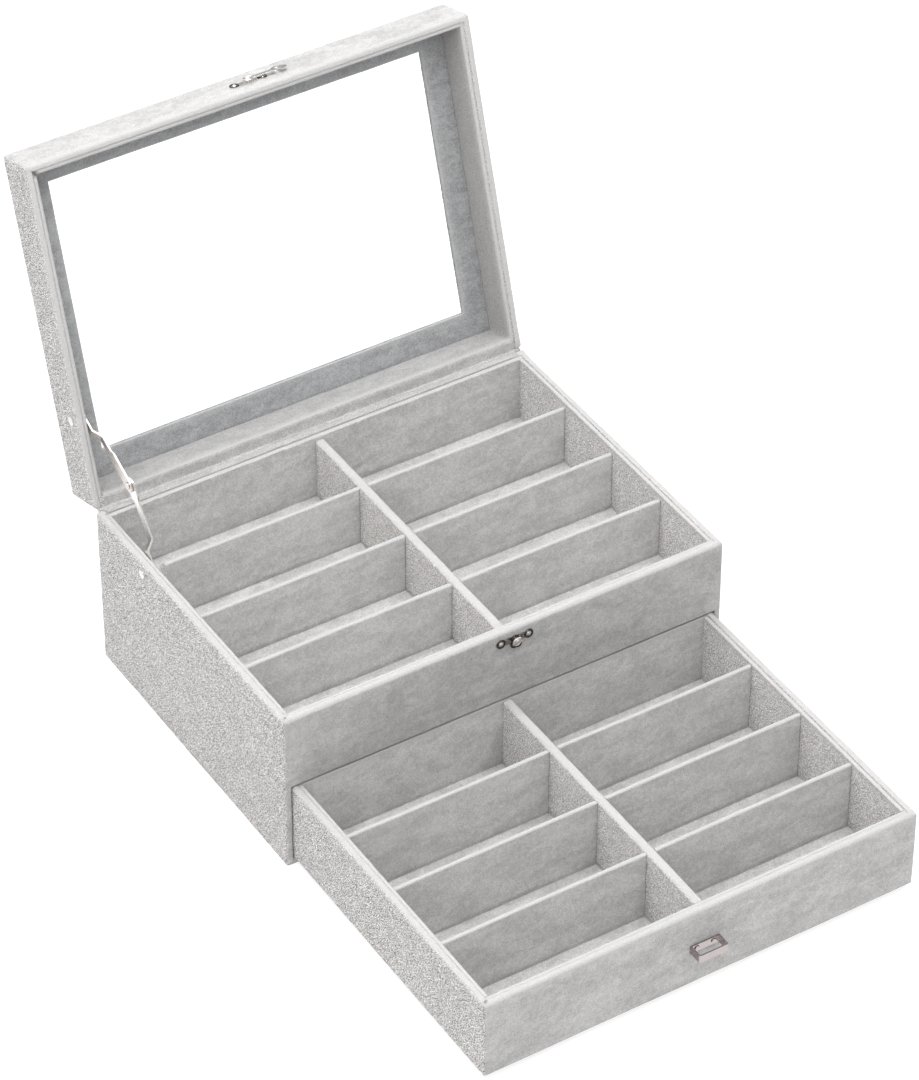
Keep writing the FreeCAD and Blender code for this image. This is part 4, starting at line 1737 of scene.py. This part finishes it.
@dataclass
class HookLatch:
    """The hook on the lid and the catch on the case.

    Attributes:
        places: Stations by body name.
        bead: Radius of the raised ring round each nail, in millimetres.
        bead_reach: Radius of the ring's circle, in millimetres.
        tab_share: How much longer than the plain hook's tip the drawn finger tab is.
        knob_share: How much fuller than the plain stud's head the cast knob is.
        neck: Radius of the knob's neck, in millimetres.
        slot_end: How far past the knob's middle the hook's slot ends, in millimetres.
        lobe_radius: Radius of the catch plate's lower lobe, in millimetres.
        lobe_offset: How far right of and below the knob the lobe sits, in millimetres.
    """

    places: dict[str, Station]
    bead: float = 0.6
    bead_reach: float = 3.0
    tab_share: float = 2.4
    knob_share: float = 1.35
    neck: float = 1.7
    slot_end: float = 2.1
    lobe_radius: float = 2.5
    lobe_offset: tuple[float, float] = (2.6, 5.4)

    @property
    def case(self) -> Station:
        """The case's station."""
        return self.places["case"]

    @property
    def lid(self) -> Station:
        """The lid's station."""
        return self.places["lid"]

    def build(self) -> None:
        """Build the latch's pieces."""
        pieces = [
            ("catch_plate", "case", 0.2, "Cast plating"),
            ("catch_nails", "case", 0.1, "Stay plating"),
            ("catch_stud", "case", 0.15, "Latch plating"),
            ("latch_plate", "lid", 0.2, "Latch plating"),
            ("latch_nails", "lid", 0.1, "Latch plating"),
            ("latch_pivot_pin", "lid", 0.15, "Latch plating"),
            ("latch_hook", "latch_hook", 0.22, "Latch plating"),
        ]
        for node, body, bevel, finish in pieces:
            piece = eased_copy(f"{node}_plated", self.case.nodes[node], bevel)
            if node == "latch_hook":
                self.lengthen(piece)
            if node == "catch_stud":
                self.swell(piece)
            self.places[body].give(piece, finish, Slot.LATCH, node)
        self.painted_shade_beads("catch_nails", "catch_plate", self.case, "catch_stud")
        self.painted_shade_beads("latch_nails", "latch_plate", self.lid)
        self.boss()
        self.lobe()

    def lobe(self) -> None:
        """The small round lobe of the catch plate, below the knob."""
        low, high = self.case.shut_box("catch_plate")
        face = self.lobe_place()
        thick = high.y - low.y
        bm = bmesh.new()
        facing = Matrix.Rotation(math.radians(90), 4, "X")
        move = Matrix.Translation(face + Vector((0, thick / 2, 0))) @ facing
        foot, face_radius = self.lobe_radius * MM, (self.lobe_radius - 0.3) * MM
        bmesh.ops.create_cone(
            bm, cap_ends=True, segments=32, radius1=foot, radius2=face_radius, depth=thick, matrix=move
        )
        move = Matrix.Translation(face)
        bmesh.ops.create_uvsphere(bm, u_segments=16, v_segments=10, radius=1.1 * MM, matrix=move)
        piece = finish_mesh("catch_plate_lobe", bm)
        self.case.settle(piece, "Stay plating", Slot.LATCH)

    def lobe_place(self) -> Vector:
        """The middle of the lobe's front face.

        Returns:
            The place in metres, with the box shut.
        """
        stud = self.case.middle("catch_stud")
        face = self.case.shut_box("catch_plate")[0].y
        right, down = self.lobe_offset
        return Vector((stud.x + right * MM, face, stud.z - down * MM))

    def boss(self) -> None:
        """The turned boss the hook swings on, with a row of cast pearls round it."""
        pin = self.lid.middle("latch_pivot_pin")
        face = self.lid.shut_box("latch_hook")[0].y
        centre = Vector((pin.x, face + 0.3 * MM, pin.z))
        bm = bmesh.new()
        self.bead_ring(bm, centre, self.bead_reach * 1.15)
        for n in range(10):
            angle = math.tau * n / 10
            spot = centre + Vector((math.cos(angle), 0, math.sin(angle))) * 1.9 * MM
            move = Matrix.Translation(spot)
            bmesh.ops.create_uvsphere(bm, u_segments=12, v_segments=8, radius=0.48 * MM, matrix=move)
        piece = finish_mesh("latch_hook_boss", bm)
        self.places["latch_hook"].settle(piece, "Latch plating", Slot.LATCH)

    def swell(self, piece: bpy.types.Object) -> None:
        """Make the knob's head as full as a cast one, and leave its neck as slim as the hook's slot needs.

        Args:
            piece: The knob.
        """
        low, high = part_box("catch_stud")
        middle = (low + high) / 2
        for vertex in piece.data.vertices:
            radius = math.hypot(vertex.co.x - middle.x, vertex.co.z - middle.z) / MM
            share = 1.0 + (self.knob_share - 1.0) * min(1.0, max(0.0, (radius - self.neck) / 0.7))
            vertex.co.x = middle.x + (vertex.co.x - middle.x) * share
            vertex.co.z = middle.z + (vertex.co.z - middle.z) * share
        piece.data.update()

    def lengthen(self, piece: bpy.types.Object) -> None:
        """Draw the tip beyond the crook's slot out into a finger tab.

        Args:
            piece: The hook.
        """
        pin = self.lid.shut_box("latch_pivot_pin")
        stud = self.case.shut_box("catch_stud")
        slot = (pin[0].x + pin[1].x + pin[0].z + pin[1].z - stud[0].z - stud[1].z) / 2 + self.slot_end * MM
        for vertex in piece.data.vertices:
            beyond = vertex.co.x - slot
            if beyond > 0:
                vertex.co.x = slot + beyond * self.tab_share
        piece.data.update()

    def painted_shade_beads(self, nails: str, plate: str, station: Station, knob: str = "") -> None:
        """Raised rings on a plate, painted near-black as shade and dark outlines, one round each nail and one
        round the knob.

        Args:
            nails: The nails' node.
            plate: The plate's node.
            station: Where the plate is.
            knob: The knob's node, if the plate has one.
        """
        face = station.shut_box(plate)[0].y
        back = station.to_rest.inverted()
        bm = bmesh.new()
        for low, high in islands(station.nodes[nails]):
            centre = back @ ((low + high) / 2)
            self.bead_ring(bm, Vector((centre.x, face, centre.z)), self.bead_reach)
        if knob:
            middle = station.middle(knob)
            self.bead_ring(bm, Vector((middle.x, face, middle.z)), self.bead_reach * 0.95)
            self.bead_ring(bm, self.lobe_place(), self.bead_reach * 0.75)
        piece = finish_mesh(f"{plate}_beads", bm)
        station.settle(piece, "Painted shade rings", Slot.LATCH)

    def bead_ring(self, bm: bmesh.types.BMesh, centre: Vector, circle: float) -> None:
        """Add one raised ring, facing -Y.

        Args:
            bm: The mesh it is added to.
            centre: The ring's centre, in metres.
            circle: Radius of the ring's circle, in millimetres.
        """
        around, across = 32, 10
        rows = []
        for n in range(around):
            angle = math.tau * n / around
            outwards = Vector((math.cos(angle), 0, math.sin(angle)))
            row = []
            for m in range(across):
                tilt = math.tau * m / across
                reach = (circle + self.bead * math.cos(tilt)) * MM
                rise = self.bead * MM * math.sin(tilt)
                row.append(bm.verts.new(centre + outwards * reach + Vector((0, rise, 0))))
            rows.append(row)
        for n, row in enumerate(rows):
            after = rows[(n + 1) % around]
            for m in range(across):
                k = (m + 1) % across
                bm.faces.new((row[m], row[k], after[k], after[m]))


# ---------------------------------------------------------------------------------------------------
# Studio
# ---------------------------------------------------------------------------------------------------


@dataclass
class Studio:
    """Pale floor, soft light and the camera.

    Attributes:
        floor_half: Half the floor's size in metres.
        lens: Focal length in millimetres.
        eye: Where the camera stands, in metres.
        aim: The direction it looks in.
        tones: The floor's two greys.
        glow: How much the floor lights itself.
        horizon: The sky's colour at the horizon.
        zenith: The sky's colour overhead.
        sky: The sky's strength.
    """

    floor_half: float = 6.0
    lens: float = 160.4
    eye: tuple[float, float, float] = (-1.3184, -2.1805, 2.2454)
    aim: tuple[float, float, float] = (0.4062, 0.6514, -0.6408)
    tones: tuple[float, float] = (0.41, 0.43)
    glow: float = 0.7
    horizon: tuple[float, float, float, float] = (0.42, 0.42, 0.43, 1)
    zenith: tuple[float, float, float, float] = (0.95, 0.95, 0.96, 1)
    sky: float = 0.8

    def build(self) -> None:
        """Set the stage."""
        self.floor()
        self.world()
        self.softbox("Overhead softbox", (-0.3, -0.2, 2.2), (0.0, -0.1, 0.1), 2.4, 66.0)
        self.softbox("Left softbox", (-2.4, -0.9, 1.2), (0.0, -0.1, 0.15), 1.6, 3.0)
        self.softbox("Front softbox", (-0.6, -3.0, 1.4), (0.0, -0.1, 0.15), 1.8, 9.0)
        self.softbox("Back softbox", (0.2, 2.3, 2.0), (0.0, 0.15, 0.35), 1.6, 22.0)
        self.camera()
        bpy.context.scene.view_settings.view_transform = "Standard"

    def floor(self) -> None:
        """A plain pale floor, with a soft grain so it isn't a perfectly flat tone."""
        bm = bmesh.new()
        bmesh.ops.create_grid(bm, x_segments=12, y_segments=12, size=self.floor_half)
        bmesh.ops.translate(bm, verts=bm.verts, vec=(0, 0, -0.1 * MM))
        piece = finish_mesh("studio_floor", bm)
        made, graph, shader = blank_material("Studio floor")
        place, _ = place_in_mm(graph)
        dark, pale = (grey(tone) for tone in self.tones)
        tone = graph.blend(graph.noise(place, 300.0, 2.0, 0.5), dark, pale)
        graph.link(tone, shader.inputs["Base Color"])
        shader.inputs["Roughness"].default_value = 0.9
        shader.inputs["Specular IOR Level"].default_value = 0.1
        shader.inputs["Emission Color"].default_value = (1, 1, 1, 1)
        shader.inputs["Emission Strength"].default_value = self.glow
        piece.data.materials.append(made)

    def world(self) -> None:
        """A bright sky that darkens towards the horizon, for the metal to mirror."""
        world = bpy.data.worlds.new("Studio")
        bpy.context.scene.world = world
        world.use_nodes = True
        graph = Graph(world.node_tree)
        where = graph.add("ShaderNodeTexCoord")
        apart = graph.add("ShaderNodeSeparateXYZ")
        graph.link(where.outputs["Generated"], apart.inputs[0])
        ramp = graph.add("ShaderNodeValToRGB")
        ramp.color_ramp.elements[0].position = 0.0
        ramp.color_ramp.elements[0].color = self.horizon
        ramp.color_ramp.elements[1].position = 0.45
        ramp.color_ramp.elements[1].color = self.zenith
        graph.link(apart.outputs["Z"], ramp.inputs[0])
        background = world.node_tree.nodes["Background"]
        graph.link(ramp.outputs[0], background.inputs["Color"])
        background.inputs["Strength"].default_value = self.sky

    def softbox(self, name: str, place: tuple, towards: tuple, size: float, power: float) -> None:
        """Add a square area light.

        Args:
            name: The light's name.
            place: Where it hangs, in metres.
            towards: What it faces.
            size: Its side, in metres.
            power: Its power in watts.
        """
        light = bpy.data.lights.new(name, "AREA")
        light.size = size
        light.energy = power
        lamp = bpy.data.objects.new(name, light)
        lamp.location = place
        direction = Vector(towards) - Vector(place)
        lamp.rotation_euler = direction.to_track_quat("-Z", "Y").to_euler()
        bpy.context.scene.collection.objects.link(lamp)

    def camera(self) -> None:
        """Stand the camera at three-quarter height on the left."""
        view = bpy.data.cameras.new("Product camera")
        view.lens = self.lens
        view.clip_end = 50.0
        camera = bpy.data.objects.new("Product camera", view)
        camera.location = self.eye
        camera.rotation_euler = Vector(self.aim).to_track_quat("-Z", "Y").to_euler()
        bpy.context.scene.collection.objects.link(camera)
        bpy.context.scene.camera = camera


def main() -> None:
    """Load the frame, build each sub-assembly in order and set the stage."""
    logging.basicConfig(level=logging.INFO, format="%(name)s: %(message)s")
    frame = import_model()
    wardrobe = Wardrobe()
    wardrobe.fill()
    places = stations(frame, wardrobe)
    CaseShell(places["case"]).build()
    Compartments(places["case"], "tray", 4.0).build()
    Drawer(places["drawer"]).build()
    Lid(places["lid"]).build()
    HingeCloth(places["case"], places["lid"]).build()
    FoldingStay(places).build()
    HookLatch(places).build()
    Studio().build()


if __name__ == "__main__":
    main()
